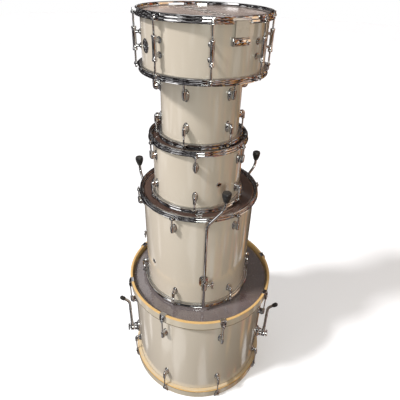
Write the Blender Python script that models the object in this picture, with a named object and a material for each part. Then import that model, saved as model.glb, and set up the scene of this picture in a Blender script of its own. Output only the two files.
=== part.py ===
"""The five drums of an acoustic kit, stacked on one axis for storage.

From the floor up: the bass drum lies on its front head, and each smaller drum stands on the head of the one
below, inside its hoop. The floor tom carries its three legs upside down, the snare drum is stored with its
wires up. Metres, +Z up. The origin is on the floor under the centre of the bass drum.

Angles are in degrees seen from above, from the front (-Y) towards the right (+X). A piece of hardware is
modelled at angle 0, where X runs along the shell and -Y points away from it, and is then turned to its angle.
"""

import math
from dataclasses import dataclass

import bmesh
import bpy
from mathutils import Matrix, Vector

INCH = 0.0254
GAP = 0.0003
WRAP = 0.0005

CLAW_PROUD = 0.0020
HEAD_FILM = 0.0004
FLESH_HOOP = 0.0070
EDGE_FLAT = 0.0015

ROD_RADIUS = 0.0030
ROD_OFFSET = 0.0180
VENT_RADIUS = 0.0060

BASS_HOOP_OUT = 0.0160
BASS_HOOP_THICK = 0.0095
BASS_HOOP_WIDE = 0.0380
BASS_ROD_OFFSET = 0.0211
CLAW_DROP = 0.0360

BASS_LUG = (0.0100, 0.0210, 0.0265)
TOM_LUG = (0.0090, 0.0175, 0.0240)

SPUR_ANGLES = {"left": -77.3, "right": 77.3}
SPUR_HEIGHT = 0.1630
SPUR_BOSS = 0.0225
SPUR_BOSS_RADIUS = 0.0170
SPUR_DISC_RADIUS = 0.0160
SPUR_DISC_FACE = 0.0070
SPUR_LEG_OFFSET = 0.0320
SPUR_LEG_RADIUS = 0.0060
SPUR_REACH = 0.1700
SPUR_TIP_REACH = 0.0280
SPUR_TIP_LENGTH = 0.0220
BOLT_HOLE_RADIUS = 0.0043
BOLT_RADIUS = 0.0035
WING_HALF = 0.0190

LEG_RADIUS = 0.0053
LEG_OFFSET = 0.0248
LEG_BRACKET_HEIGHT = 0.1350
LEG_LOW_END = 0.5000
LEG_SIDE_STEP = 0.0595
LEG_RISE = 0.0564
LEG_FOOT_START = 0.0270

SNARE_LUG_LENGTH = 0.0620
BUTT_ANGLE = 30.5
BUTT_LOW = 0.0130
BUTT_HIGH = 0.0330
STRAINER_ANGLE = BUTT_ANGLE + 180.0
STRAINER_LOW = -0.0360
STRAINER_HIGH = 0.0300
STRAINER_PIN_OFFSET = 0.0260
STRAINER_PIN_HEIGHT = 0.0120
STRAP_HALF_WIDTH = 0.0190
STRAP_THICK = 0.0006
STRAP_OFFSET = 0.0084
WIRES_HALF_LENGTH = 0.1500


@dataclass(frozen=True)
class Drum:
    """One drum: its shell, the height over both hoops, and where its lugs are."""

    name: str
    top: str
    bottom: str
    diameter: float
    height: float
    recess: float
    wall: float
    lugs: int
    lug_angle: float
    steps: int
    centre: tuple
    lug_inset: float
    vent_angle: float
    vent_height: float

    @property
    def radius(self):
        """Outside radius of the wrapped shell."""
        return self.diameter / 2 + WRAP

    @property
    def angles(self):
        """The angle of each lug."""
        return [self.lug_angle + 360 * index / self.lugs for index in range(self.lugs)]


@dataclass(frozen=True)
class Leg:
    """One floor tom leg: its place round the shell, where its bend points, and how high the bend is."""

    angle: float
    bend_angle: float
    bend_height: float


BASS = Drum(
    name="bass", top="batter", bottom="front", diameter=22 * INCH, height=0.4966, recess=0.0190, wall=0.008,
    lugs=8, lug_angle=18.8, steps=32, centre=(0, 0), lug_inset=0.117, vent_angle=176.3, vent_height=0.2483)
FLOOR = Drum(
    name="floor_tom", top="top", bottom="bottom", diameter=16 * INCH, height=0.4288, recess=0.0110, wall=0.007,
    lugs=6, lug_angle=-21.3, steps=24, centre=(-0.0161, 0.0050), lug_inset=0.064, vent_angle=-51.2,
    vent_height=0.154)
TOM_12 = Drum(
    name="tom_12", top="top", bottom="bottom", diameter=12 * INCH, height=0.2256, recess=0.0110, wall=0.007,
    lugs=6, lug_angle=-0.5, steps=24, centre=(-0.0232, -0.0080), lug_inset=0.060, vent_angle=29.2,
    vent_height=0.0966)
TOM_10 = Drum(
    name="tom_10", top="top", bottom="bottom", diameter=10 * INCH, height=0.2256, recess=0.0110, wall=0.007,
    lugs=6, lug_angle=-17.8, steps=24, centre=(-0.0184, -0.0045), lug_inset=0.064, vent_angle=132.2,
    vent_height=0.0966)
SNARE = Drum(
    name="snare", top="side", bottom="batter", diameter=14 * INCH, height=0.1621, recess=0.0110, wall=0.007,
    lugs=8, lug_angle=7.0, steps=32, centre=(-0.0138, -0.0300), lug_inset=0.0811, vent_angle=-59.0,
    vent_height=0.0750)
STACK = (BASS, FLOOR, TOM_12, TOM_10, SNARE)

LEGS = (Leg(8.7, 107.6, 0.886), Leg(128.7, 129.1, 0.844), Leg(-111.3, -149.4, 0.823))

# name: (colour, roughness, metallic)
FINISHES = {
    "white_wrap": ((0.74, 0.68, 0.57), 0.15, 0.0),
    "maple": ((0.62, 0.42, 0.20), 0.35, 0.0),
    "chrome": ((0.75, 0.75, 0.76), 0.12, 1.0),
    "clear_film": ((0.22, 0.20, 0.19), 0.10, 0.0),
    "black_rubber": ((0.02, 0.02, 0.02), 0.55, 0.0),
    "strap_plastic": ((0.60, 0.55, 0.47), 0.30, 0.0),
}


def clear_scene():
    """Removes everything that the file starts with."""
    for obj in list(bpy.data.objects):
        bpy.data.objects.remove(obj)


def finish(name):
    """The named material, made the first time that it is asked for."""
    if name in bpy.data.materials:
        return bpy.data.materials[name]
    colour, roughness, metallic = FINISHES[name]
    made = bpy.data.materials.new(name)
    made.use_nodes = True
    shader = made.node_tree.nodes["Principled BSDF"]
    shader.inputs["Base Color"].default_value = (*colour, 1)
    shader.inputs["Roughness"].default_value = roughness
    shader.inputs["Metallic"].default_value = metallic
    return made


def empty(name, location, parent=None):
    """An empty that holds the pieces of one moving body."""
    made = bpy.data.objects.new(name, None)
    bpy.context.scene.collection.objects.link(made)
    made.location = location
    made.parent = parent
    return made


def piece(name, shape, material, parent, location=(0, 0, 0), angle=0.0):
    """An object from a bmesh, turned to its angle and hung on its body's empty."""
    bmesh.ops.recalc_face_normals(shape, faces=shape.faces)
    mesh = bpy.data.meshes.new(name)
    shape.to_mesh(mesh)
    shape.free()
    made = bpy.data.objects.new(name, mesh)
    bpy.context.scene.collection.objects.link(made)
    made.location = location
    made.rotation_euler.z = math.radians(angle)
    made.parent = parent
    mesh.materials.append(finish(material))
    mesh.shade_smooth()
    mesh.set_sharp_from_angle(angle=math.radians(35))
    return made


def combine(target, shape, operation):
    """Joins a shape to an object, or cuts it out. The shape is in the object's own frame."""
    helper = piece(f"{target.name}_{operation.lower()}_{len(target.modifiers)}", shape,
                   target.data.materials[0].name, target)
    helper.hide_render = True
    helper.display_type = "WIRE"
    made = target.modifiers.new(operation.title(), "BOOLEAN")
    made.operation = operation
    made.object = helper


def turned(profile, steps):
    """A solid turned about Z from a closed outline of (radius, height) points.

    The outline starts on the point at the front, so a corner of the polygon is there.
    """
    shape = bmesh.new()
    corners = [shape.verts.new((0, -radius, height)) for radius, height in profile]
    edges = []
    for one, two in zip(corners, corners[1:] + corners[:1]):
        if one.co.y or two.co.y:
            edges.append(shape.edges.new((one, two)))
    bmesh.ops.spin(shape, geom=corners + edges, cent=(0, 0, 0), axis=(0, 0, 1), angle=math.tau,
                   steps=steps, use_merge=True)
    bmesh.ops.remove_doubles(shape, verts=shape.verts, dist=1e-6)
    return shape


def add_box(shape, low, high, angle=0.0):
    """Adds a box between two corners, turned to an angle about Z."""
    low, high = Vector(low), Vector(high)
    place = Matrix.Translation((low + high) / 2) @ Matrix.Diagonal((*(high - low), 1))
    bmesh.ops.create_cube(shape, size=1, matrix=Matrix.Rotation(math.radians(angle), 4, "Z") @ place)


def add_rod(shape, start, end, radius, sides=8, angle=0.0):
    """Adds a straight round bar between two points, turned to an angle about Z."""
    start, end = Vector(start), Vector(end)
    along = end - start
    aim = along.to_track_quat("Z", "Y").to_matrix().to_4x4()
    place = Matrix.Rotation(math.radians(angle), 4, "Z") @ Matrix.Translation((start + end) / 2) @ aim
    bmesh.ops.create_cone(shape, cap_ends=True, segments=sides, radius1=radius, radius2=radius,
                          depth=along.length, matrix=place)


def add_plate(shape, outline, half_width, angle=0.0):
    """Adds a plate with an outline of (Y, Z) points, as wide as twice half_width along X."""
    corners = [shape.verts.new((-half_width, y, z)) for y, z in outline]
    face = shape.faces.new(corners)
    made = bmesh.ops.extrude_face_region(shape, geom=[face])
    moved = [item for item in made["geom"] if isinstance(item, bmesh.types.BMVert)]
    bmesh.ops.translate(shape, verts=moved, vec=(2 * half_width, 0, 0))
    bmesh.ops.rotate(shape, verts=corners + moved, cent=(0, 0, 0),
                     matrix=Matrix.Rotation(math.radians(angle), 3, "Z"))


def add_bent_rod(shape, points, radius, sides=8):
    """Adds a round bar along the points, mitred at each bend."""
    points = [Vector(point) for point in points]
    ways = [(after - before).normalized() for before, after in zip(points, points[1:])]
    side = ways[0].orthogonal().normalized()
    rings = []
    for index, point in enumerate(points):
        way = ways[max(index - 1, 0)]
        after = ways[min(index, len(ways) - 1)]
        mitre = (way + after).normalized()
        ring = []
        for step in range(sides):
            turn = math.tau * step / sides
            spoke = radius * (math.cos(turn) * side + math.sin(turn) * way.cross(side))
            spoke -= way * (spoke.dot(mitre) / way.dot(mitre))
            ring.append(shape.verts.new(point + spoke))
        side.rotate(way.rotation_difference(after))
        rings.append(ring)
    for low, high in zip(rings, rings[1:]):
        for step in range(sides):
            following = (step + 1) % sides
            shape.faces.new((low[step], low[following], high[following], high[step]))
    shape.faces.new(reversed(rings[0]))
    shape.faces.new(rings[-1])


def rounded(points, radius, steps=3):
    """The points with each inner corner replaced by an arc that starts and ends radius away from it."""
    points = [Vector(point) for point in points]
    path = [points[0]]
    for before, corner, after in zip(points, points[1:], points[2:]):
        start = corner + (before - corner).normalized() * radius
        end = corner + (after - corner).normalized() * radius
        for step in range(steps + 1):
            share = step / steps
            path.append(start.lerp(corner, share).lerp(corner.lerp(end, share), share))
    return path + [points[-1]]


def shell(drum, frame):
    """The wooden shell with a 45 degree bearing edge at both ends, its lugs and its vent hole."""
    low = drum.recess + HEAD_FILM + GAP
    high = drum.height - low
    bevel = drum.wall - EDGE_FLAT
    outside, inside, edge = drum.radius, drum.radius - drum.wall, drum.radius - EDGE_FLAT
    profile = [(outside, low), (outside, high), (edge, high), (inside, high - bevel),
               (inside, low + bevel), (edge, low)]
    made = piece(f"{drum.name}_shell", turned(profile, drum.steps), "white_wrap", frame,
                 angle=drum.lug_angle)
    vent = bmesh.new()
    add_rod(vent, (0, -inside + 0.01, drum.vent_height), (0, -outside - 0.01, drum.vent_height), VENT_RADIUS,
            angle=drum.vent_angle - drum.lug_angle)
    combine(made, vent, "DIFFERENCE")
    return made


def add_lugs(drum, shell_object, half_wide, half_tall, depth):
    """Joins a ring of small oval lugs to the shell near each head."""
    lugs = bmesh.new()
    for index in range(drum.lugs):
        for height in (drum.lug_inset, drum.height - drum.lug_inset):
            made = bmesh.ops.create_cone(lugs, cap_ends=True, segments=8, radius1=half_wide,
                                         radius2=half_wide, depth=depth + 0.0015)
            tall = half_tall / half_wide
            place = (Matrix.Rotation(math.tau * index / drum.lugs, 4, "Z")
                     @ Matrix.Translation((0, -drum.radius - depth / 2 + 0.00075, height))
                     @ Matrix.Diagonal((1, 1, tall, 1))
                     @ Matrix.Rotation(math.radians(90), 4, "X")
                     @ Matrix.Rotation(math.radians(22.5), 4, "Z"))
            bmesh.ops.transform(lugs, matrix=place, verts=made["verts"])
    combine(shell_object, lugs, "UNION")


def metal_hoop(drum, frame, name, flip, lug_end):
    """A triple-flanged hoop with its ears and tension rods. lug_end is how far the rods reach from the rim."""
    r = drum.radius
    profile = [(r + 0.0045, 0), (r + 0.0120, 0), (r + 0.0102, -0.0040), (r + 0.0102, -0.0145),
               (r + 0.0145, -0.0178), (r + 0.0077, -0.0178), (r + 0.0077, -0.0107), (r + 0.0045, -0.0107)]
    sign = -1 if flip else 1
    rim = 0 if flip else drum.height
    made = piece(name, turned([(radius, sign * z) for radius, z in profile], drum.steps), "chrome", frame,
                 (0, 0, rim), drum.lug_angle)
    ears, rods = bmesh.new(), bmesh.new()
    for index in range(drum.lugs):
        turn = 360 * index / drum.lugs
        levels = sorted((sign * -0.0175, sign * -0.0158))
        add_box(ears, (-0.008, -r - 0.0230, levels[0]), (0.008, -r - 0.0120, levels[1]), turn)
        centre = -r - ROD_OFFSET
        add_rod(rods, (0, centre, sign * -0.0167), (0, centre, sign * (GAP - lug_end)), ROD_RADIUS, 6, turn)
    combine(made, ears, "UNION")
    combine(made, rods, "UNION")
    return made


def bass_hoop(frame, name, flip):
    """A maple hoop with its claws and their tension rods."""
    outside = BASS.radius + BASS_HOOP_OUT
    inside = outside - BASS_HOOP_THICK
    sign = -1 if flip else 1
    rim = 0 if flip else BASS.height
    profile = [(inside, 0), (outside, 0), (outside, -BASS_HOOP_WIDE * sign), (inside, -BASS_HOOP_WIDE * sign)]
    made = piece(name, turned(profile, BASS.steps), "maple", frame, (0, 0, rim), BASS.lug_angle)
    claws, rods = bmesh.new(), bmesh.new()
    front = BASS.radius + BASS_ROD_OFFSET
    outline = [(-inside + 0.003, CLAW_PROUD), (-inside + 0.003, -0.004), (-outside + 0.002, -0.004),
               (-outside + 0.002, -CLAW_DROP), (-front - 0.0045, -CLAW_DROP), (-front - 0.0045, CLAW_PROUD)]
    lug_end = BASS.lug_inset - BASS_LUG[1]
    for index in range(BASS.lugs):
        turn = 360 * index / BASS.lugs
        add_plate(claws, [(y, sign * z) for y, z in outline], 0.012, turn)
        add_rod(rods, (0, -front, sign * -0.030), (0, -front, sign * (GAP - lug_end)), ROD_RADIUS, 6, turn)
    combine(made, claws, "UNION")
    combine(made, rods, "UNION")
    return made


def head(drum, frame, name, flip):
    """A drum head: the film over the bearing edge and the metal flesh hoop outside the shell."""
    inner = drum.radius + 0.0008
    outer = drum.radius + 0.0072
    low = -drum.recess - FLESH_HOOP
    profile = [(0, -drum.recess), (outer, -drum.recess), (outer, low), (inner, low),
               (inner, -drum.recess - HEAD_FILM), (0, -drum.recess - HEAD_FILM)]
    if drum is BASS:
        collar = drum.radius + 0.0021
        flange = -BASS_HOOP_WIDE - GAP
        wide = drum.radius + 0.0131
        profile = [(0, -drum.recess), (collar, -drum.recess), (collar, flange), (wide, flange),
                   (wide, flange - 0.005), (inner, flange - 0.005),
                   (inner, -drum.recess - HEAD_FILM), (0, -drum.recess - HEAD_FILM)]
    sign = -1 if flip else 1
    rim = 0 if flip else drum.height
    return piece(name, turned([(radius, sign * z) for radius, z in profile], drum.steps), "clear_film",
                 frame, (0, 0, rim), drum.lug_angle)


def drum_body(drum, frame):
    """The shell, heads and hoops that every drum has."""
    shell_object = shell(drum, frame)
    for end, flip in ((drum.top, False), (drum.bottom, True)):
        head(drum, frame, f"{drum.name}_{end}_head", flip)
        if drum is BASS:
            bass_hoop(frame, f"{drum.name}_{end}_hoop", flip)
        elif drum is SNARE:
            metal_hoop(drum, frame, f"{drum.name}_{end}_hoop", flip, (drum.height - SNARE_LUG_LENGTH) / 2)
        else:
            metal_hoop(drum, frame, f"{drum.name}_{end}_hoop", flip, drum.lug_inset - TOM_LUG[1])
    if drum is not SNARE:
        add_lugs(drum, shell_object, *(BASS_LUG if drum is BASS else TOM_LUG))


def spur(side, angle, frame):
    """A folding spur: bracket on the shell, leg on a wing bolt, rubber tip. The leg turns on its origin."""
    r = BASS.radius
    pivot = empty(f"{side}_spur_pivot", (0, 0, SPUR_HEIGHT), frame)
    pivot.rotation_euler.z = math.radians(angle)

    plate, boss, bore = bmesh.new(), bmesh.new(), bmesh.new()
    add_box(plate, (-0.019, -r - 0.010, -0.030), (0.019, -r - GAP, 0.030))
    add_rod(boss, (0, -r - 0.008, 0), (0, -r - SPUR_BOSS, 0), SPUR_BOSS_RADIUS, 12)
    add_rod(bore, (0, -r - 0.004, 0), (0, -r - SPUR_BOSS - 0.01, 0), BOLT_HOLE_RADIUS)
    bracket = piece(f"{side}_spur_bracket", plate, "chrome", pivot)
    combine(bracket, boss, "UNION")
    combine(bracket, bore, "DIFFERENCE")

    outer = r + SPUR_LEG_OFFSET
    disc, bar, bore = bmesh.new(), bmesh.new(), bmesh.new()
    add_rod(disc, (0, -r - SPUR_BOSS - GAP, 0), (0, -outer - SPUR_DISC_FACE, 0), SPUR_DISC_RADIUS, 12)
    bend = Vector((0, -outer, SPUR_REACH))
    tip_way = Vector((0, -1, 1)).normalized()
    end = bend + tip_way * SPUR_TIP_REACH
    add_bent_rod(bar, rounded([(0, -outer, 0.012), bend, end], 0.010), SPUR_LEG_RADIUS)
    add_rod(bore, (0, -r, 0), (0, -outer - 0.02, 0), BOLT_HOLE_RADIUS)
    leg = piece(f"{side}_spur_leg", disc, "chrome", pivot)
    combine(leg, bar, "UNION")
    combine(leg, bore, "DIFFERENCE")

    tip = bmesh.new()
    add_rod(tip, end + tip_way * GAP, end + tip_way * SPUR_TIP_LENGTH, 0.009)
    piece(f"{side}_spur_tip", tip, "black_rubber", pivot)

    shank, hub, wings = bmesh.new(), bmesh.new(), bmesh.new()
    face = outer + SPUR_DISC_FACE + GAP
    add_rod(shank, (0, -r - 0.006, 0), (0, -face - 0.004, 0), BOLT_RADIUS)
    add_rod(hub, (0, -face, 0), (0, -face - 0.012, 0), 0.008)
    add_box(wings, (-WING_HALF, -face - 0.011, -0.0035), (WING_HALF, -face - 0.004, 0.0035))
    bolt = piece(f"{side}_spur_bolt", shank, "chrome", pivot)
    combine(bolt, hub, "UNION")
    combine(bolt, wings, "UNION")


def floor_leg(index, leg, frame, frame_place):
    """A leg bracket, its wing bolt, the bent leg that slides in it and the rubber foot."""
    r = FLOOR.radius
    mount = empty(f"floor_tom_leg_{index}_mount", (0, 0, LEG_BRACKET_HEIGHT), frame)
    mount.rotation_euler.z = math.radians(leg.angle)

    block, plate, bore, side_bore = bmesh.new(), bmesh.new(), bmesh.new(), bmesh.new()
    centre = -r - LEG_OFFSET
    add_box(block, (-0.011, centre - 0.0105, -0.019), (0.011, -r - 0.002, 0.019))
    add_box(plate, (-0.016, -r - 0.004, -0.027), (0.016, -r - GAP, 0.027))
    add_rod(bore, (0, centre, -0.03), (0, centre, 0.03), LEG_RADIUS + 0.0006)
    add_rod(side_bore, (0.001, centre, 0), (0.02, centre, 0), 0.0042)
    bracket = piece(f"floor_tom_bracket_{index}", block, "chrome", mount)
    combine(bracket, plate, "UNION")
    combine(bracket, bore, "DIFFERENCE")
    combine(bracket, side_bore, "DIFFERENCE")

    shank, wing = bmesh.new(), bmesh.new()
    add_rod(shank, (LEG_RADIUS + 0.0007, 0, 0), (0.030, 0, 0), BOLT_RADIUS)
    add_box(wing, (0.024, -0.0035, -WING_HALF), (0.035, 0.0035, WING_HALF))
    bolt = piece(f"floor_tom_bolt_{index}", shank, "chrome", mount, (0, centre, 0))
    combine(bolt, wing, "UNION")

    turn = math.radians(leg.angle)
    out = r + LEG_OFFSET
    slide = empty(f"floor_tom_leg_{index}_slide", (out * math.sin(turn), -out * math.cos(turn), 0), frame)
    aim = math.radians(leg.bend_angle)
    step = Vector((math.sin(aim), -math.cos(aim), 0)) * LEG_SIDE_STEP
    low = Vector((0, 0, LEG_LOW_END - frame_place.z))
    first = Vector((0, 0, leg.bend_height - frame_place.z))
    second = first + step + Vector((0, 0, LEG_RISE))
    top = second + Vector((0, 0, LEG_FOOT_START + 0.018))
    bar = bmesh.new()
    add_bent_rod(bar, rounded([low, first, second, top], 0.014), LEG_RADIUS)
    piece(f"floor_tom_leg_{index}", bar, "chrome", slide)

    socket = LEG_RADIUS + 0.0005
    profile = [(socket, 0), (0.0085, 0), (0.0155, 0.024), (0.0150, 0.031), (0.0100, 0.037), (0, 0.037),
               (0, 0.0195), (socket, 0.0195)]
    place = second + Vector((0, 0, LEG_FOOT_START))
    piece(f"floor_tom_foot_{index}", turned(profile, 10), "black_rubber", slide, place)


def snare_lugs(frame):
    """Eight tube lugs, each on two posts. The rods of both hoops end at their tubes."""
    r = SNARE.radius
    half = SNARE_LUG_LENGTH / 2
    middle = SNARE.height / 2
    for index, angle in enumerate(SNARE.angles):
        tube, posts = bmesh.new(), bmesh.new()
        add_rod(tube, (0, -r - ROD_OFFSET, -half), (0, -r - ROD_OFFSET, half), 0.0070)
        for level in (-0.018, 0.018):
            add_box(posts, (-0.005, -r - 0.0135, level - 0.006), (0.005, -r - GAP, level + 0.006))
        lug = piece(f"snare_lug_{index + 1}", tube, "chrome", frame, (0, 0, middle), angle)
        combine(lug, posts, "UNION")


def snare_wires(frame):
    """The band of snare wires on the upper head, between two end clips."""
    low = SNARE.height - SNARE.recess + GAP
    strands = bmesh.new()
    end = WIRES_HALF_LENGTH - 0.006
    add_box(strands, (-0.020, -end, low), (0.020, end, low + 0.0014))
    wires = piece("snare_wires", strands, "chrome", frame, angle=BUTT_ANGLE)
    clips = bmesh.new()
    for end in (-1, 1):
        edges = sorted((end * WIRES_HALF_LENGTH, end * (WIRES_HALF_LENGTH - 0.012)))
        add_box(clips, (-0.022, edges[0], low - 0.0001), (0.022, edges[1], low + 0.0026))
    combine(wires, clips, "UNION")


def strap(name, angle, low_end, frame):
    """A flat strap from the wires, out through the hoop's gate and down outside the shell."""
    r = SNARE.radius
    level = SNARE.height - SNARE.recess + GAP
    inner, outer = -r - STRAP_OFFSET, -r - STRAP_OFFSET - STRAP_THICK
    start = -WIRES_HALF_LENGTH - GAP
    outline = [(start, level), (inner, level), (inner, low_end), (outer, low_end), (outer, level + STRAP_THICK),
               (start, level + STRAP_THICK)]
    shape = bmesh.new()
    add_plate(shape, outline, STRAP_HALF_WIDTH)
    piece(name, shape, "strap_plastic", frame, angle=angle)


def snare_gates():
    """Cuts the two openings in the upper hoop that the straps pass through."""
    hoop = bpy.data.objects[f"snare_{SNARE.top}_hoop"]
    gates = bmesh.new()
    for angle in (BUTT_ANGLE, STRAINER_ANGLE):
        add_box(gates, (-0.027, -SNARE.radius - 0.03, -0.03), (0.027, -SNARE.radius + 0.004, -0.0045),
                angle - SNARE.lug_angle)
    combine(hoop, gates, "DIFFERENCE")


def butt_plate(frame):
    """The bar that holds the fixed end of the wires."""
    r = SNARE.radius
    low, high = SNARE.height / 2 + BUTT_LOW, SNARE.height / 2 + BUTT_HIGH
    block = bmesh.new()
    outline = [(-r - GAP, low), (-r - 0.009, low), (-r - 0.014, low + 0.004), (-r - 0.014, high - 0.004),
               (-r - 0.009, high), (-r - GAP, high)]
    add_plate(block, outline, 0.025)
    piece("butt_plate", block, "chrome", frame, angle=BUTT_ANGLE)


def strainer(frame):
    """The throw-off: body, lever on a cross pin, and tension knob. The lever's origin is on its pin."""
    r = SNARE.radius
    middle = SNARE.height / 2
    pin_y, pin_z = -r - STRAINER_PIN_OFFSET, middle + STRAINER_PIN_HEIGHT
    body_low, body_high = middle + STRAINER_LOW, middle + STRAINER_HIGH

    block, ears, holes, bore = bmesh.new(), bmesh.new(), bmesh.new(), bmesh.new()
    add_box(block, (-0.017, -r - 0.0195, body_low), (0.017, -r - GAP, body_high))
    for side in (-1, 1):
        edges = sorted((side * 0.0130, side * 0.0165))
        add_box(ears, (edges[0], pin_y - 0.0045, pin_z - 0.007), (edges[1], -r - 0.018, pin_z + 0.007))
    add_rod(holes, (-0.03, pin_y, pin_z), (0.03, pin_y, pin_z), 0.0032)
    add_rod(bore, (0, -r - 0.010, body_low - 0.01), (0, -r - 0.010, body_low + 0.014), 0.0037)
    body = piece("strainer_body", block, "chrome", frame, angle=STRAINER_ANGLE)
    combine(body, ears, "UNION")
    combine(body, holes, "DIFFERENCE")
    combine(body, bore, "DIFFERENCE")

    axis = empty("strainer_pin_axis", (0, 0, pin_z), frame)
    axis.rotation_euler.z = math.radians(STRAINER_ANGLE)
    plate, pin = bmesh.new(), bmesh.new()
    add_box(plate, (-0.0120, -0.0035, -0.048), (0.0120, 0.0035, 0.0045))
    add_rod(pin, (-0.0165, 0, 0), (0.0165, 0, 0), 0.0026)
    lever = piece("strainer_lever", plate, "chrome", axis, (0, pin_y, 0))
    combine(lever, pin, "UNION")

    spin = empty("strainer_knob_axis", (0, 0, body_low), frame)
    spin.rotation_euler.z = math.radians(STRAINER_ANGLE)
    grip, shank = bmesh.new(), bmesh.new()
    add_rod(grip, (0, 0, -0.013), (0, 0, -GAP), 0.0085, 12)
    add_rod(shank, (0, 0, -0.005), (0, 0, 0.012), 0.0030)
    knob = piece("strainer_knob", grip, "chrome", spin, (0, -r - 0.010, 0))
    combine(knob, shank, "UNION")


def main():
    """Stacks the drums: each stands on the head below, and the upturned snare's own head rests on the hoop."""
    clear_scene()
    frame, below, level = None, None, CLAW_PROUD
    frames, places = {}, {}
    for drum in STACK:
        if below:
            level += below.height - (drum if drum is SNARE else below).recess + GAP
        place = Vector((*drum.centre, level))
        origin = places[below.name] if below else Vector()
        frame = empty(f"{drum.name}_frame", place - origin, frame)
        frames[drum.name], places[drum.name] = frame, place
        drum_body(drum, frame)
        below = drum

    bass_frame, snare_frame = frames[BASS.name], frames[SNARE.name]
    for side, angle in SPUR_ANGLES.items():
        spur(side, angle, bass_frame)
    for index, leg in enumerate(LEGS, 1):
        floor_leg(index, leg, frames[FLOOR.name], places[FLOOR.name])
    snare_lugs(snare_frame)
    snare_wires(snare_frame)
    snare_gates()
    strap("butt_strap", BUTT_ANGLE, SNARE.height / 2 + BUTT_HIGH + GAP, snare_frame)
    strap("strainer_strap", STRAINER_ANGLE, SNARE.height / 2 + STRAINER_HIGH + GAP, snare_frame)
    butt_plate(snare_frame)
    strainer(snare_frame)


main()
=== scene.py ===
"""The looks of a stacked acoustic drum kit: the finished surfaces, the hardware, the floor and the light.

Five drums stand on one another with the bass drum at the foot. Metres, +Z up. A drum's centre and ends come
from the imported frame. Angles are in degrees seen from above, from the front (-Y) towards the right (+X).

The hardware of a drum's end is modelled at angle 0 with the rim at height 0, the drum below it and -Y
pointing away from the shell. It is then copied to each angle, and turned over for the drum's lower end.
"""

import logging
import math
from collections.abc import Sequence
from dataclasses import dataclass, field
from enum import Enum

import bpy
from mathutils import Matrix, Vector

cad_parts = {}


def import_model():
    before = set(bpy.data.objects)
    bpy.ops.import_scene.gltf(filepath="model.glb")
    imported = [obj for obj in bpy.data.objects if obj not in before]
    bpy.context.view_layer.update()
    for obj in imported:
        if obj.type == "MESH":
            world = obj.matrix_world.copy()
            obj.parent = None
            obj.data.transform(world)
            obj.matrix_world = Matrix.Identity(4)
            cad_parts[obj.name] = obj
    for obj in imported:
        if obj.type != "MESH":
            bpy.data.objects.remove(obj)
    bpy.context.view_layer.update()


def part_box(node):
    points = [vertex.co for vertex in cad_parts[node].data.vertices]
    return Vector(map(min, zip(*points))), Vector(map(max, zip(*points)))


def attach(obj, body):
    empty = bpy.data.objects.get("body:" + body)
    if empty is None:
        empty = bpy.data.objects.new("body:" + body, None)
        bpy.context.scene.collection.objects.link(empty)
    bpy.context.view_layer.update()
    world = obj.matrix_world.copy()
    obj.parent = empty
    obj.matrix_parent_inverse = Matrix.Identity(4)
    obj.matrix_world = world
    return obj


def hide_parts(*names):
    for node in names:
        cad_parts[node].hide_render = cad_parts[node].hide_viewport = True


log = logging.getLogger("drum_kit")

INCH = 0.0254
WRAP = 0.0005
FILM = 0.0004
GAP = 0.0003
SMOOTH_ANGLE = math.radians(38)
ROUND_STEPS = 128

Point = Sequence[float]
Thing = bpy.types.Object


class End(Enum):
    """Which end of a drum a piece is on."""

    TOP = "top"
    BOTTOM = "bottom"


class Slot(Enum):
    """The record's material slot names, which nothing in this script assigns to a piece."""

    WRAP = "white_wrap"
    MAPLE = "maple"
    CHROME = "chrome"
    FILM = "clear_film"
    RUBBER = "black_rubber"
    STRAP = "strap_plastic"


# -------------------- modelling


def only(thing: Thing) -> None:
    """Makes one object the selected and active one."""
    bpy.ops.object.select_all(action="DESELECT")
    thing.select_set(True)
    bpy.context.view_layer.objects.active = thing


def edit(thing: Thing, mode: str = "VERT") -> None:
    """Opens an object in edit mode with everything selected."""
    only(thing)
    bpy.ops.object.mode_set(mode="EDIT")
    bpy.ops.mesh.select_mode(type=mode)
    bpy.ops.mesh.select_all(action="SELECT")


def close_edit() -> None:
    """Goes back to object mode."""
    bpy.ops.object.mode_set(mode="OBJECT")


def settle(thing: Thing) -> Thing:
    """Applies an object's place, turn and scale to its mesh."""
    only(thing)
    bpy.ops.object.transform_apply(location=True, rotation=True, scale=True)
    return thing


def apply(thing: Thing, kind: str, **settings: object) -> Thing:
    """Adds a modifier and applies it.

    Args:
        thing: The object.
        kind: The modifier's type.
        **settings: The modifier's settings.

    Returns:
        The object.
    """
    only(thing)
    made = thing.modifiers.new(kind.lower(), kind)
    for name, value in settings.items():
        setattr(made, name, value)
    bpy.ops.object.modifier_apply(modifier=made.name)
    return thing


def drawn(points: Sequence[Point], closed: bool = True) -> Thing:
    """Draws a line through points by extruding one vertex along them.

    Args:
        points: The points in order.
        closed: Whether the outline is closed and filled with one face.

    Returns:
        The new object.
    """
    spots = [Vector(point) for point in points]
    bpy.ops.object.select_all(action="DESELECT")
    bpy.ops.mesh.primitive_plane_add(size=0.001, location=spots[0])
    thing = settle(bpy.context.object)
    edit(thing)
    bpy.ops.mesh.merge(type="CENTER")
    for before, after in zip(spots, spots[1:]):
        bpy.ops.mesh.extrude_region_move(TRANSFORM_OT_translate={"value": after - before})
    if closed:
        bpy.ops.mesh.select_all(action="SELECT")
        bpy.ops.mesh.edge_face_add()
    close_edit()
    return thing


def tidy_shell(thing: Thing) -> None:
    """Merges the seam of a turned shape, drops loose edges and points its faces outwards."""
    edit(thing)
    bpy.ops.mesh.remove_doubles(threshold=1e-6)
    bpy.ops.mesh.delete_loose()
    bpy.ops.mesh.select_all(action="SELECT")
    bpy.ops.mesh.normals_make_consistent(inside=False)
    close_edit()


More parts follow.
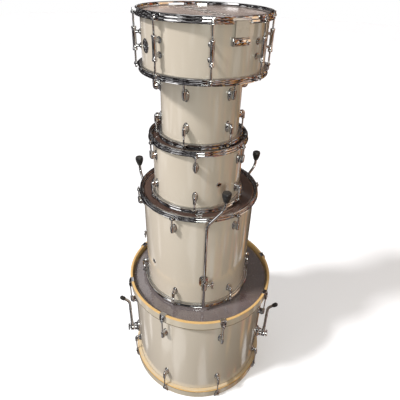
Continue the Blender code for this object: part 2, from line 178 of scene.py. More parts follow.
def turned(profile: Sequence[tuple[float, float]], steps: int = ROUND_STEPS, rounding: float = 0.0,
           sweep: float = 360.0) -> Thing:
    """Turns a closed outline round Z.

    Args:
        profile: The outline as (radius, height) points.
        steps: How many steps the whole turn has.
        rounding: How far the outline's corners are rounded.
        sweep: The angle turned through, which is closed with end faces when it is under 360.

    Returns:
        The new object.
    """
    thing = drawn([(0, -radius, height) for radius, height in profile])
    edit(thing)
    if rounding:
        bpy.ops.mesh.bevel(offset=rounding, offset_type="OFFSET", segments=3, affect="VERTICES")
        bpy.ops.mesh.select_all(action="SELECT")
    if sweep == 360.0:
        bpy.ops.mesh.delete(type="ONLY_FACE")
        bpy.ops.mesh.select_all(action="SELECT")
    bpy.ops.mesh.spin(steps=steps, angle=math.radians(sweep), center=(0, 0, 0), axis=(0, 0, 1))
    close_edit()
    tidy_shell(thing)
    return thing


def sleeve(inner: float, outer: float, low: float, high: float, steps: int = ROUND_STEPS,
           rounding: float = 0.0, sweep: float = 360.0) -> Thing:
    """A ring with a rectangular section, between two radii and two heights."""
    return turned([(inner, low), (outer, low), (outer, high), (inner, high)], steps, rounding, sweep)


def bar(start: Point, end: Point, radius: float, sides: int = 32, end_radius: float | None = None,
        soft: float = 0.0) -> Thing:
    """A straight round bar between two points.

    Args:
        start: The centre of one end.
        end: The centre of the other end.
        radius: The radius at the start.
        sides: How many sides it has.
        end_radius: The radius at the end, if it tapers.
        soft: How far its end edges are rounded.

    Returns:
        The new object.
    """
    first, last = Vector(start), Vector(end)
    along = last - first
    bpy.ops.object.select_all(action="DESELECT")
    bpy.ops.mesh.primitive_cone_add(
        vertices=sides, radius1=radius, radius2=radius if end_radius is None else end_radius,
        depth=along.length, location=(first + last) / 2, rotation=along.to_track_quat("Z", "Y").to_euler())
    thing = settle(bpy.context.object)
    if soft:
        soften(thing, soft)
    return thing


def block(low: Point, high: Point, soft: float = 0.0, segments: int = 2) -> Thing:
    """A box between two corners, with its edges rounded by soft."""
    first, last = Vector(low), Vector(high)
    bpy.ops.object.select_all(action="DESELECT")
    bpy.ops.mesh.primitive_cube_add(size=1, location=(first + last) / 2, scale=last - first)
    thing = settle(bpy.context.object)
    if soft:
        soften(thing, soft, segments)
    return thing


def ball(centre: Point, radii: Point, segments: int = 32) -> Thing:
    """A ball stretched to three radii."""
    bpy.ops.object.select_all(action="DESELECT")
    bpy.ops.mesh.primitive_uv_sphere_add(segments=segments, ring_count=segments // 2, radius=1,
                                         location=centre, scale=radii)
    return settle(bpy.context.object)


def soften(thing: Thing, width: float, segments: int = 2) -> Thing:
    """Rounds an object's sharp edges."""
    return apply(thing, "BEVEL", width=width, segments=segments, limit_method="ANGLE",
                 angle_limit=math.radians(40), use_clamp_overlap=True)


def plate(outline: Sequence[Point], depth: Point, soft: float = 0.0, rounding: float = 0.0) -> Thing:
    """A plate made by pushing a drawn outline along a direction.

    Args:
        outline: The outline's points.
        depth: The way and the distance that the outline is pushed.
        soft: How far the plate's edges are rounded.
        rounding: How far the outline's own corners are rounded.

    Returns:
        The new object.
    """
    thing = drawn(outline)
    edit(thing)
    if rounding:
        bpy.ops.mesh.bevel(offset=rounding, offset_type="OFFSET", segments=4, affect="VERTICES")
        bpy.ops.mesh.select_all(action="SELECT")
    bpy.ops.mesh.extrude_region_move(TRANSFORM_OT_translate={"value": Vector(depth)})
    close_edit()
    tidy_shell(thing)
    if soft:
        soften(thing, soft)
    return thing


def rounded(points: Sequence[Point], reach: float, steps: int = 10) -> list[Vector]:
    """The points with each inner corner replaced by an arc that starts and ends reach away from it."""
    spots = [Vector(point) for point in points]
    path = [spots[0]]
    for before, corner, after in zip(spots, spots[1:], spots[2:]):
        start = corner + (before - corner).normalized() * reach
        end = corner + (after - corner).normalized() * reach
        for step in range(steps + 1):
            share = step / steps
            path.append(start.lerp(corner, share).lerp(corner.lerp(end, share), share))
    return path + [spots[-1]]


def tube(points: Sequence[Point], radius: float, sides: int = 24) -> Thing:
    """A round bar that follows a drawn line, with its ends filled.

    Args:
        points: The line that it follows.
        radius: Its radius.
        sides: How many sides it has.

    Returns:
        The new object.
    """
    thing = drawn(points, closed=False)
    only(thing)
    bpy.ops.object.convert(target="CURVE")
    curve = bpy.context.object.data
    curve.bevel_depth = radius
    curve.bevel_resolution = max(0, sides // 4 - 1)
    curve.use_fill_caps = True
    bpy.ops.object.convert(target="MESH")
    thing = bpy.context.object
    tidy_shell(thing)
    return thing


def joined(parts: Sequence[Thing]) -> Thing:
    """Joins objects into the first of them."""
    bpy.ops.object.select_all(action="DESELECT")
    for part in parts:
        part.select_set(True)
    bpy.context.view_layer.objects.active = parts[0]
    if len(parts) > 1:
        bpy.ops.object.join()
    return parts[0]


def cast(parts: Sequence[Thing], grain: float = 0.0007, passes: int = 6) -> Thing:
    """Melts overlapping shapes into one casting with soft fillets.

    Args:
        parts: The shapes.
        grain: The size of the casting's facets.
        passes: How many times its surface is smoothed.

    Returns:
        The casting.
    """
    thing = joined(parts)
    apply(thing, "REMESH", mode="VOXEL", voxel_size=grain)
    return apply(thing, "SMOOTH", factor=0.5, iterations=passes)


def cut(thing: Thing, cutter: Thing) -> Thing:
    """Cuts one shape out of another and removes the cutter."""
    apply(thing, "BOOLEAN", operation="DIFFERENCE", object=cutter, solver="EXACT")
    bpy.data.objects.remove(cutter)
    return thing


def dressed(thing: Thing, material: bpy.types.Material) -> Thing:
    """Gives a whole object one material."""
    thing.data.materials.clear()
    thing.data.materials.append(material)
    return thing


def moved(thing: Thing, place: Matrix) -> Thing:
    """Moves an object's mesh."""
    thing.data.transform(place)
    return thing


def spun(angle: float, axis: str = "Z") -> Matrix:
    """A turn by an angle in degrees about an axis."""
    return Matrix.Rotation(math.radians(angle), 4, axis)


def copies(master: Thing, places: Sequence[Matrix]) -> Thing:
    """Copies a part to each place and joins the copies, and removes the one they were copied from.

    Args:
        master: The part, modelled at angle 0.
        places: Where each copy goes.

    Returns:
        One object that holds all the copies.
    """
    made = []
    for place in places:
        copy = master.copy()
        copy.data = master.data.copy()
        bpy.context.scene.collection.objects.link(copy)
        made.append(moved(copy, place))
    bpy.data.objects.remove(master)
    return joined(made)


def fitted(thing: Thing, name: str, body: str, replaces: Sequence[str] = (),
           smooth: bool = True) -> Thing:
    """Names a finished piece and hands it to the frame.

    Args:
        thing: The piece, in place.
        name: The piece's name.
        body: The body that it rides on.
        replaces: The frame's nodes that it stands for.
        smooth: Whether its round faces are shaded smooth.

    Returns:
        The piece.
    """
    thing.name = name
    thing.data.name = name
    only(thing)
    if smooth:
        bpy.ops.object.shade_smooth_by_angle(angle=SMOOTH_ANGLE, keep_sharp_edges=False)
    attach(thing, body)
    if replaces:
        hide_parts(*replaces)
    log.info("%s: %d faces on %s", name, len(thing.data.polygons), body)
    return thing


# -------------------- finishes


class Wiring:
    """Adds nodes to a node tree and joins them."""

    def __init__(self, tree: bpy.types.NodeTree) -> None:
        """Keeps the tree that the nodes go into."""
        self.tree = tree

    def add(self, kind: str, inputs: dict[str | int, object] | None = None,
            **settings: object) -> bpy.types.Node:
        """Adds a node.

        Args:
            kind: The node's type.
            inputs: What goes into its sockets, each a value or another node's output.
            **settings: The node's own settings.

        Returns:
            The node.
        """
        node = self.tree.nodes.new(kind)
        for name, value in settings.items():
            setattr(node, name, value)
        for name, value in (inputs or {}).items():
            if isinstance(value, bpy.types.NodeSocket):
                self.tree.links.new(value, node.inputs[name])
            else:
                node.inputs[name].default_value = value
        return node

    def noise(self, place: bpy.types.NodeSocket, scale: float, detail: float = 3.0,
              rough: float = 0.5) -> bpy.types.NodeSocket:
        """Noise from 0 to 1 at a place."""
        return self.add("ShaderNodeTexNoise", {"Vector": place, "Scale": scale, "Detail": detail,
                                               "Roughness": rough}).outputs["Fac"]

    def span(self, value: bpy.types.NodeSocket, low: float, high: float, to_low: float = 0.0,
             to_high: float = 1.0) -> bpy.types.NodeSocket:
        """Stretches the part of a value between low and high to a new range, held at its ends."""
        return self.add("ShaderNodeMapRange", {"Value": value, "From Min": low, "From Max": high,
                                               "To Min": to_low, "To Max": to_high}).outputs["Result"]

    def maths(self, what: str, one: object, two: object = 0.0) -> bpy.types.NodeSocket:
        """One sum of two values."""
        return self.add("ShaderNodeMath", {0: one, 1: two}, operation=what).outputs[0]

    def blend(self, share: object, one: object, two: object) -> bpy.types.NodeSocket:
        """Mixes two colours."""
        node = self.add("ShaderNodeMix", data_type="RGBA")
        for socket, value in ((node.inputs[0], share), (node.inputs[6], one), (node.inputs[7], two)):
            if isinstance(value, bpy.types.NodeSocket):
                self.tree.links.new(value, socket)
            else:
                socket.default_value = value
        return node.outputs[2]

    def upward(self) -> bpy.types.NodeSocket:
        """How far a face looks up, from -1 to 1."""
        normal = self.add("ShaderNodeNewGeometry").outputs["Normal"]
        return self.add("ShaderNodeSeparateXYZ", {0: normal}).outputs["Z"]

    def scaled(self, place: bpy.types.NodeSocket, scale: Point,
               shift: Point = (0, 0, 0)) -> bpy.types.NodeSocket:
        """A place moved and stretched."""
        return self.add("ShaderNodeMapping", {"Vector": place, "Location": shift, "Scale": scale}).outputs[0]


def group(name: str, inputs: dict[str, str], outputs: dict[str, str]) -> tuple[bpy.types.NodeTree, Wiring]:
    """Starts a shader node group.

    Args:
        name: The group's name.
        inputs: Each input's name and socket type.
        outputs: Each output's name and socket type.

    Returns:
        The group's tree and its wiring.
    """
    tree = bpy.data.node_groups.new(name, "ShaderNodeTree")
    for label, kind in inputs.items():
        tree.interface.new_socket(label, in_out="INPUT", socket_type=kind)
    for label, kind in outputs.items():
        tree.interface.new_socket(label, in_out="OUTPUT", socket_type=kind)
    return tree, Wiring(tree)


VECTOR, VALUE, COLOUR = "NodeSocketVector", "NodeSocketFloat", "NodeSocketColor"


def make_handling_group() -> bpy.types.NodeTree:
    """Fingerprints, wiped streaks and hairline scratches, as one mask for roughness and one for height."""
    tree, wire = group("handling", {"Vector": VECTOR, "Size": VALUE, "Amount": VALUE},
                       {"Mask": VALUE, "Height": VALUE})
    given = wire.add("NodeGroupInput").outputs
    place = wire.add("ShaderNodeVectorMath", {0: given["Vector"], "Scale": given["Size"]},
                     operation="SCALE").outputs[0]
    smudges = wire.span(wire.noise(place, 9.0, 4.0, 0.6), 0.48, 0.72)
    streaks = wire.span(wire.noise(wire.scaled(place, (14, 14, 1.2)), 6.0, 2.0), 0.58, 0.66, 0.0, 0.45)
    hairs = wire.span(wire.noise(wire.scaled(place, (60, 60, 3)), 8.0, 1.0), 0.62, 0.65, 0.0, 0.5)
    specks = wire.span(wire.noise(place, 420.0, 1.0), 0.68, 0.74)
    summed = wire.maths("ADD", wire.maths("MAXIMUM", smudges, streaks), wire.maths("MAXIMUM", hairs, specks))
    mask = wire.maths("MULTIPLY", summed, given["Amount"])
    height = wire.maths("ADD", wire.maths("MULTIPLY", specks, 0.6), hairs)
    wire.add("NodeGroupOutput", {"Mask": mask, "Height": height})
    return tree


def make_round_group() -> bpy.types.NodeTree:
    """A place as seen from a drum's own axis: the way round it, the way out and the height, in metres."""
    tree, wire = group("round_the_axis", {"Vector": VECTOR}, {"Place": VECTOR, "Out": VALUE, "Round": VALUE})
    given = wire.add("NodeGroupInput").outputs
    parts = wire.add("ShaderNodeSeparateXYZ", {0: given["Vector"]}).outputs
    backwards = wire.maths("MULTIPLY", parts["Y"], -1.0)
    angle = wire.maths("ARCTAN2", parts["X"], backwards)
    squares = wire.maths("ADD", wire.maths("MULTIPLY", parts["X"], parts["X"]),
                         wire.maths("MULTIPLY", parts["Y"], parts["Y"]))
    out = wire.maths("SQRT", squares)
    about = wire.maths("MULTIPLY", angle, 0.2)
    place = wire.add("ShaderNodeCombineXYZ", {0: about, 1: out, 2: parts["Z"]}).outputs[0]
    wire.add("NodeGroupOutput", {"Place": place, "Out": out, "Round": about})
    return tree


def make_grain_group() -> bpy.types.NodeTree:
    """Wood grain along a stretched place: a mask from light to dark wood, and fine pores."""
    tree, wire = group("grain", {"Vector": VECTOR, "Figure": VALUE}, {"Mask": VALUE, "Pores": VALUE})
    given = wire.add("NodeGroupInput").outputs
    bends = wire.noise(given["Vector"], 3.0, 2.0)
    shift = wire.add("ShaderNodeVectorMath", {0: given["Vector"], "Scale": given["Figure"]},
                     operation="SCALE").outputs[0]
    lines = wire.noise(shift, 22.0, 6.0, 0.62)
    figure = wire.maths("ADD", wire.maths("MULTIPLY", lines, 0.75), wire.maths("MULTIPLY", bends, 0.25))
    mask = wire.span(figure, 0.36, 0.64)
    pores = wire.span(wire.noise(shift, 160.0, 2.0), 0.60, 0.70)
    wire.add("NodeGroupOutput", {"Mask": mask, "Pores": pores})
    return tree


def make_dust_group() -> bpy.types.NodeTree:
    """Dust that settles on faces that look up: a mask."""
    tree, wire = group("dust", {"Vector": VECTOR, "Amount": VALUE}, {"Mask": VALUE})
    given = wire.add("NodeGroupInput").outputs
    facing = wire.span(wire.upward(), 0.25, 0.95)
    patches = wire.span(wire.noise(given["Vector"], 26.0, 5.0, 0.65), 0.38, 0.72)
    mask = wire.maths("MULTIPLY", wire.maths("MULTIPLY", facing, patches), given["Amount"])
    wire.add("NodeGroupOutput", {"Mask": mask})
    return tree


@dataclass
class Effects:
    """The node groups that the finishes share."""

    handling: bpy.types.NodeTree = field(default_factory=make_handling_group)
    round_axis: bpy.types.NodeTree = field(default_factory=make_round_group)
    grain: bpy.types.NodeTree = field(default_factory=make_grain_group)
    dust: bpy.types.NodeTree = field(default_factory=make_dust_group)


@dataclass(frozen=True)
class Finish:
    """What every finish has: a name, a base colour and a roughness."""

    name: str
    colour: tuple[float, float, float]
    roughness: float

    def start(self) -> tuple[bpy.types.Material, Wiring, bpy.types.Node, bpy.types.NodeSocket]:
        """Makes the material with its plain values.

        Returns:
            The material, its wiring, its shader and the object's own coordinates.
        """
        made = bpy.data.materials.new(self.name)
        made.use_nodes = True
        wire = Wiring(made.node_tree)
        shader = made.node_tree.nodes["Principled BSDF"]
        shader.inputs["Base Color"].default_value = (*self.colour, 1)
        shader.inputs["Roughness"].default_value = self.roughness
        place = wire.add("ShaderNodeTexCoord").outputs["Object"]
        return made, wire, shader, place

    @staticmethod
    def bump(wire: Wiring, shader: bpy.types.Node, height: bpy.types.NodeSocket, strength: float,
             distance: float = 0.001) -> None:
        """Feeds a height to the shader's normal."""
        made = wire.add("ShaderNodeBump", {"Height": height, "Strength": strength, "Distance": distance})
        wire.tree.links.new(made.outputs[0], shader.inputs["Normal"])

    @staticmethod
    def feed(wire: Wiring, value: bpy.types.NodeSocket, shader: bpy.types.Node, socket: str) -> None:
        """Links a value to one of the shader's sockets."""
        wire.tree.links.new(value, shader.inputs[socket])


@dataclass(frozen=True)
class MetalFinish(Finish):
    """Plated or bare metal with handling marks."""

    smudge: float = 0.10
    size: float = 1.0
    brushed: float = 0.0

    def made(self, effects: Effects) -> bpy.types.Material:
        """Builds the material."""
        material, wire, shader, place = self.start()
        shader.inputs["Metallic"].default_value = 1.0
        marks = wire.add("ShaderNodeGroup", {"Vector": place, "Size": self.size, "Amount": 1.0},
                         node_tree=effects.handling)
        rough = wire.span(marks.outputs["Mask"], 0.0, 1.4, self.roughness, self.roughness + self.smudge)
        self.feed(wire, rough, shader, "Roughness")
        tint = wire.noise(place, 14.0, 3.0)
        darker = tuple(channel * 0.90 for channel in self.colour)
        self.feed(wire, wire.blend(wire.span(tint, 0.35, 0.65), (*self.colour, 1), (*darker, 1)), shader,
                  "Base Color")
        height = marks.outputs["Height"]
        if self.brushed:
            lines = wire.noise(wire.scaled(place, (20, 20, 2600)), 1.0, 2.0)
            height = wire.maths("ADD", height, wire.maths("MULTIPLY", lines, self.brushed))
        self.bump(wire, shader, height, 0.05, 0.0002)
        return material


@dataclass(frozen=True)
class WrapFinish(Finish):
    """Glossy off-white drum wrap: slightly uneven, with faint rub marks and dust on its upward faces."""

    aged: tuple[float, float, float] = (0.56, 0.50, 0.41)

    def made(self, effects: Effects) -> bpy.types.Material:
        """Builds the material."""
        material, wire, shader, place = self.start()
        shader.inputs["Coat Weight"].default_value = 0.6
        shader.inputs["Coat Roughness"].default_value = 0.06
        shader.inputs["Coat IOR"].default_value = 1.5
        marks = wire.add("ShaderNodeGroup", {"Vector": place, "Size": 0.7, "Amount": 0.5},
                         node_tree=effects.handling)
        rough = wire.span(marks.outputs["Mask"], 0.0, 1.4, self.roughness, self.roughness + 0.10)
        self.feed(wire, rough, shader, "Roughness")
        cloud = wire.span(wire.noise(place, 3.2, 4.0), 0.30, 0.72, 0.0, 0.45)
        fine = wire.span(wire.noise(place, 900.0, 1.0), 0.35, 0.65, 0.0, 0.10)
        toned = wire.blend(wire.maths("ADD", cloud, fine), (*self.colour, 1), (*self.aged, 1))
        dust = wire.add("ShaderNodeGroup", {"Vector": place, "Amount": 0.5}, node_tree=effects.dust)
        self.feed(wire, wire.blend(dust.outputs["Mask"], toned, (0.56, 0.53, 0.49, 1)), shader, "Base Color")
        ripple = wire.noise(wire.scaled(place, (1, 1, 0.35)), 26.0, 2.0)
        height = wire.maths("ADD", wire.maths("MULTIPLY", ripple, 1.0),
                            wire.maths("MULTIPLY", marks.outputs["Height"], 0.12))
        self.bump(wire, shader, height, 0.12, 0.0012)
        return material


@dataclass(frozen=True)
class WoodFinish(Finish):
    """Wood that runs round a drum: grain along the way round, and plies through its thickness."""

    dark: tuple[float, float, float] = (0.35, 0.20, 0.09)
    centre: tuple[float, float] = (0.0, 0.0)
    ply: float = 0.0012
    ply_strength: float = 0.5
    coat: float = 0.3
    upright: bool = False

    def made(self, effects: Effects) -> bpy.types.Material:
        """Builds the material."""
        material, wire, shader, place = self.start()
        shader.inputs["Coat Weight"].default_value = self.coat
        shader.inputs["Coat Roughness"].default_value = 0.12
        own = wire.scaled(place, (1, 1, 1), (-self.centre[0], -self.centre[1], 0))
        about = wire.add("ShaderNodeGroup", {"Vector": own}, node_tree=effects.round_axis)
        along = (26, 60, 1.6) if self.upright else (1.6, 60, 30)
        stretched = wire.scaled(about.outputs["Place"], along)
        grain = wire.add("ShaderNodeGroup", {"Vector": stretched, "Figure": 1.0}, node_tree=effects.grain)
        wood = wire.blend(grain.outputs["Mask"], (*self.colour, 1), (*self.dark, 1))
        layers = wire.maths("SINE", wire.maths("MULTIPLY", about.outputs["Out"], math.tau / self.ply))
        end_face = wire.span(wire.maths("ABSOLUTE", wire.upward()), 0.3, 0.6)
        plies = wire.maths("MULTIPLY", wire.span(layers, -0.2, 0.6), end_face)
        shade = wire.maths("MULTIPLY", plies, self.ply_strength)
        self.feed(wire, wire.blend(shade, wood, (*self.dark, 1)), shader, "Base Color")
        marks = wire.add("ShaderNodeGroup", {"Vector": place, "Size": 0.9, "Amount": 1.0},
                         node_tree=effects.handling)
        rough = wire.span(wire.maths("ADD", marks.outputs["Mask"], grain.outputs["Pores"]), 0.0, 2.0,
                          self.roughness, self.roughness + 0.25)
        self.feed(wire, rough, shader, "Roughness")
        height = wire.maths("SUBTRACT", wire.maths("MULTIPLY", grain.outputs["Mask"], 0.3),
                            grain.outputs["Pores"])
        self.bump(wire, shader, height, 0.10, 0.0003)
        return material


@dataclass(frozen=True)
class FilmFinish(Finish):
    """A drum head's film: glossy, and as clear as its haze allows, with stick marks and a dusty bloom."""

    clear: float = 0.5
    gloss: float = 2.0
    marked: float = 0.3
    centre: tuple[float, float] = (0.0, 0.0)

    def made(self, effects: Effects) -> bpy.types.Material:
        """Builds the material."""
        material, wire, shader, place = self.start()
        shader.inputs["IOR"].default_value = self.gloss
        own = wire.scaled(place, (1, 1, 1), (-self.centre[0], -self.centre[1], 0))
        about = wire.add("ShaderNodeGroup", {"Vector": own}, node_tree=effects.round_axis)
        bloom = wire.span(wire.noise(own, 7.0, 5.0, 0.62), 0.35, 0.75)
        rays = wire.span(wire.noise(wire.scaled(about.outputs["Place"], (60, 2.5, 1)), 2.2, 2.0), 0.46, 0.66)
        specks = wire.span(wire.noise(own, 260.0, 2.0), 0.66, 0.72)
        marks = wire.add("ShaderNodeGroup", {"Vector": own, "Size": 1.1, "Amount": 1.0},
                         node_tree=effects.handling)
        haze = wire.maths("ADD", wire.maths("MULTIPLY", bloom, 0.6), wire.maths("MULTIPLY", rays, 0.12))
        haze = wire.maths("ADD", haze, wire.maths("MULTIPLY", specks, 0.5))
        hazed = wire.maths("MULTIPLY", haze, self.marked)
        lighter = tuple(min(1.0, channel * 1.6 + 0.04) for channel in self.colour)
        self.feed(wire, wire.blend(hazed, (*self.colour, 1), (*lighter, 1)), shader, "Base Color")
        solid = wire.span(hazed, 0.0, 1.0, 1.0 - self.clear, min(1.0, 1.0 - self.clear + 0.35))
        self.feed(wire, solid, shader, "Alpha")
        rubbed = wire.maths("ADD", hazed, wire.maths("MULTIPLY", marks.outputs["Mask"], 0.4))
        rough = wire.span(rubbed, 0.0, 1.2, self.roughness, self.roughness + 0.16)
        self.feed(wire, rough, shader, "Roughness")
        ripple = wire.noise(own, 9.0, 2.0)
        height = wire.maths("ADD", ripple, wire.maths("MULTIPLY", marks.outputs["Height"], 0.06))
        self.bump(wire, shader, height, 0.10, 0.002)
        return material


@dataclass(frozen=True)
class MouldedFinish(Finish):
    """Rubber or moulded plastic: fine texture, rubbed lighter in patches, with dust on top."""

    worn: tuple[float, float, float] = (0.09, 0.09, 0.09)
    texture: float = 700.0

    def made(self, effects: Effects) -> bpy.types.Material:
        """Builds the material."""
        material, wire, shader, place = self.start()
        patches = wire.span(wire.noise(place, 34.0, 4.0, 0.6), 0.42, 0.75, 0.0, 0.7)
        toned = wire.blend(patches, (*self.colour, 1), (*self.worn, 1))
        dust = wire.add("ShaderNodeGroup", {"Vector": place, "Amount": 0.14}, node_tree=effects.dust)
        self.feed(wire, wire.blend(dust.outputs["Mask"], toned, (0.30, 0.28, 0.25, 1)), shader, "Base Color")
        self.feed(wire, wire.span(patches, 0.0, 0.7, self.roughness, self.roughness + 0.2), shader,
                  "Roughness")
        grit = wire.noise(place, self.texture, 3.0)
        self.bump(wire, shader, grit, 0.25, 0.0003)
        return material


@dataclass
class Finishes:
    effects: Effects = field(default_factory=Effects)
    chrome: bpy.types.Material = field(init=False)
    steel: bpy.types.Material = field(init=False)
    flesh: bpy.types.Material = field(init=False)
    wrap: bpy.types.Material = field(init=False)
    inlay: bpy.types.Material = field(init=False)
    warm_flesh: bpy.types.Material = field(init=False)
    # The near-black band on the bass hoops is painted shadow where each hoop meets the shell.
    pinstripe: bpy.types.Material = field(init=False)
    rubber: bpy.types.Material = field(init=False)
    nylon: bpy.types.Material = field(init=False)
    strap: bpy.types.Material = field(init=False)
    enamel: bpy.types.Material = field(init=False)

    def __post_init__(self) -> None:
        """Builds the finishes that no drum changes."""
        plain = {
            "chrome": MetalFinish("chrome_plate", (0.56, 0.56, 0.57), 0.03, 0.08),
            "steel": MetalFinish("bright_steel_wire", (0.74, 0.72, 0.70), 0.16, 0.10, 3.0),
            "flesh": MetalFinish("flesh_hoop_aluminium", (0.62, 0.62, 0.61), 0.28, 0.12, 1.0, 0.8),
            "wrap": WrapFinish("off_white_wrap", (0.62, 0.575, 0.495), 0.14),
            "inlay": WrapFinish("hoop_inlay", (0.60, 0.55, 0.45), 0.24, (0.52, 0.45, 0.33)),
            "warm_flesh": WrapFinish("flesh_hoop_coat", (0.66, 0.53, 0.33), 0.30, (0.58, 0.44, 0.24)),
            # The near-black hoop band below is painted shade: it stands for the shadow line where a bass hoop
            # meets the shell.
            "pinstripe": WrapFinish("hoop_pinstripe", (0.05, 0.038, 0.030), 0.25, (0.08, 0.06, 0.045)),
            "rubber": MouldedFinish("black_foot_rubber", (0.012, 0.012, 0.013), 0.30, (0.04, 0.04, 0.04)),
            "nylon": MouldedFinish("black_nylon", (0.02, 0.02, 0.02), 0.32, (0.05, 0.05, 0.05), 1400),
            "strap": MouldedFinish("strap_plastic", (0.60, 0.55, 0.47), 0.22, (0.66, 0.62, 0.55), 500),
            "enamel": MouldedFinish("badge_enamel", (0.02, 0.018, 0.02), 0.16, (0.05, 0.045, 0.045), 300)}
        for name, finish in plain.items():
            setattr(self, name, finish.made(self.effects))


# -------------------- the drums


@dataclass
class Drum:
    """One drum of the stack, with its place taken from the frame."""

    name: str
    body: str
    top: str
    bottom: str
    diameter: float
    recess: float
    wall: float
    lugs: int
    lug_angle: float
    lug_inset: float
    vent_angle: float
    vent_height: float
    centre: Vector = field(init=False)
    height: float = field(init=False)

    def __post_init__(self) -> None:
        """Finds the drum's foot and height from its shell."""
        low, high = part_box(f"{self.name}_shell")
        edge = self.recess + FILM + GAP
        self.centre = Vector(((low.x + high.x) / 2, (low.y + high.y) / 2, low.z - edge))
        self.height = high.z - low.z + 2 * edge

    @property
    def radius(self) -> float:
        """Outside radius of the wrapped shell."""
        return self.diameter / 2 + WRAP

    @property
    def angles(self) -> list[float]:
        """The angle of each lug."""
        return [self.lug_angle + 360 * index / self.lugs for index in range(self.lugs)]

    def node(self, end: End, part: str) -> str:
        """The frame's name for a hoop or head at one end."""
        return f"{self.name}_{self.top if end is End.TOP else self.bottom}_{part}"

    def at(self, end: End, angle: float = 0.0) -> Matrix:
        """Where something modelled below a rim at height 0 goes, at one end and angle."""
        turn = spun(angle)
        if end is End.TOP:
            return Matrix.Translation(self.centre + Vector((0, 0, self.height))) @ turn
        return Matrix.Translation(self.centre) @ turn @ Matrix.Rotation(math.pi, 4, "Y")

    def beside(self, angle: float, height: float) -> Matrix:
        """Where something modelled at angle 0 and height 0 goes, at a height above the drum's foot."""
        turn = spun(angle)
        return Matrix.Translation(self.centre + Vector((0, 0, height))) @ turn

    def all_round(self, end: End) -> list[Matrix]:
        """The place at one end for each lug."""
        return [self.at(end, angle) for angle in self.angles]


def shell_tool(drum: Drum) -> Thing:
    """The tool that hollows a casting's back to the shell's curve."""
    reach, half = drum.radius + GAP, 0.06
    return sleeve(0, reach, -half, half, 192)


def foot_plate(drum: Drum, wide: float, shoulder: float, narrow: float, tall: float, depth: float,
               rounding: float) -> Thing:
    """A bracket's eight-sided foot.

    Args:
        drum: The drum that it sits on.
        wide: Half its width up to the shoulder.
        shoulder: How far from the middle it starts to narrow.
        narrow: Half its width at its ends.
        tall: Half its height.
        depth: How thick it is.
        rounding: How far its corners are rounded.

    Returns:
        The foot.
    """
    outline = [(-wide, -shoulder), (-narrow, -tall), (narrow, -tall), (wide, -shoulder),
               (wide, shoulder), (narrow, tall), (-narrow, tall), (-wide, shoulder)]
    return plate([(x, 0.0010 - drum.radius, z) for x, z in outline], (0, -depth, 0), 0, rounding)


@dataclass
class DrumShell:
    """The plywood shell with its wrap, wrap seam, vent and grommet."""

    drum: Drum
    finishes: Finishes
    wood: WoodFinish
    seam_angle: float
    seam_width: float = 0.026
    wrap_inset: float = 0.0030
    edge_flat: float = 0.0016
    vent: float = 0.0060

    def build(self) -> None:
        """Builds the shell's pieces."""
        drum = self.drum
        low = drum.recess + FILM + GAP
        high = drum.height - low
        outside = drum.radius - WRAP
        inside = drum.radius - drum.wall
        bevel = drum.wall - WRAP - self.edge_flat
        ply = turned([
            (outside, low + 0.0016), (outside, high - 0.0016), (outside - 0.0006, high - 0.0004),
            (outside - self.edge_flat, high), (inside, high - bevel), (inside, low + bevel),
            (outside - self.edge_flat, low), (outside - 0.0006, low + 0.0004)])
        cut(ply, self.vent_tool())
        moved(dressed(ply, self.wood.made(self.finishes.effects)), Matrix.Translation(drum.centre))
        fitted(ply, f"{drum.name}_ply_shell", drum.body, [f"{drum.name}_shell"])

        ends = (low + self.wrap_inset, high - self.wrap_inset)
        skin = sleeve(outside + 0.00002, drum.radius, *ends, 192)
        cut(skin, self.vent_tool())
        moved(dressed(skin, self.finishes.wrap), Matrix.Translation(drum.centre))
        fitted(skin, f"{drum.name}_wrap", drum.body)

        sweep = math.degrees(self.seam_width / drum.radius)
        lap = sleeve(drum.radius + 0.00003, drum.radius + 0.00035, *ends, 8, sweep=sweep)
        moved(dressed(lap, self.finishes.wrap), drum.beside(self.seam_angle, 0))
        fitted(lap, f"{drum.name}_wrap_lap", drum.body)
        self.build_grommet()

    def vent_tool(self) -> Thing:
        """The drill that makes the vent."""
        drum = self.drum
        tool = bar((0, -drum.radius + 0.02, 0), (0, -drum.radius - 0.02, 0), self.vent, 32)
        turn = spun(drum.vent_angle)
        return moved(tool, Matrix.Translation((0, 0, drum.vent_height)) @ turn)

    def build_grommet(self) -> None:
        """The chrome eyelet that lines the vent."""
        drum = self.drum
        bore, rim = self.vent - 0.0014, self.vent + 0.0034
        eyelet = turned([
            (bore, -drum.wall), (self.vent - 0.0003, -drum.wall), (self.vent - 0.0003, 0.0002),
            (rim, 0.0002), (rim - 0.0003, 0.0009), (self.vent + 0.0010, 0.0019),
            (self.vent - 0.0004, 0.0017), (bore, 0.0006)], 40)
        outwards = Matrix.Translation((0, -drum.radius, 0)) @ spun(90, "X")
        moved(dressed(eyelet, self.finishes.chrome),
              drum.beside(drum.vent_angle, drum.vent_height) @ outwards)
        fitted(eyelet, f"{drum.name}_vent_eyelet", drum.body)


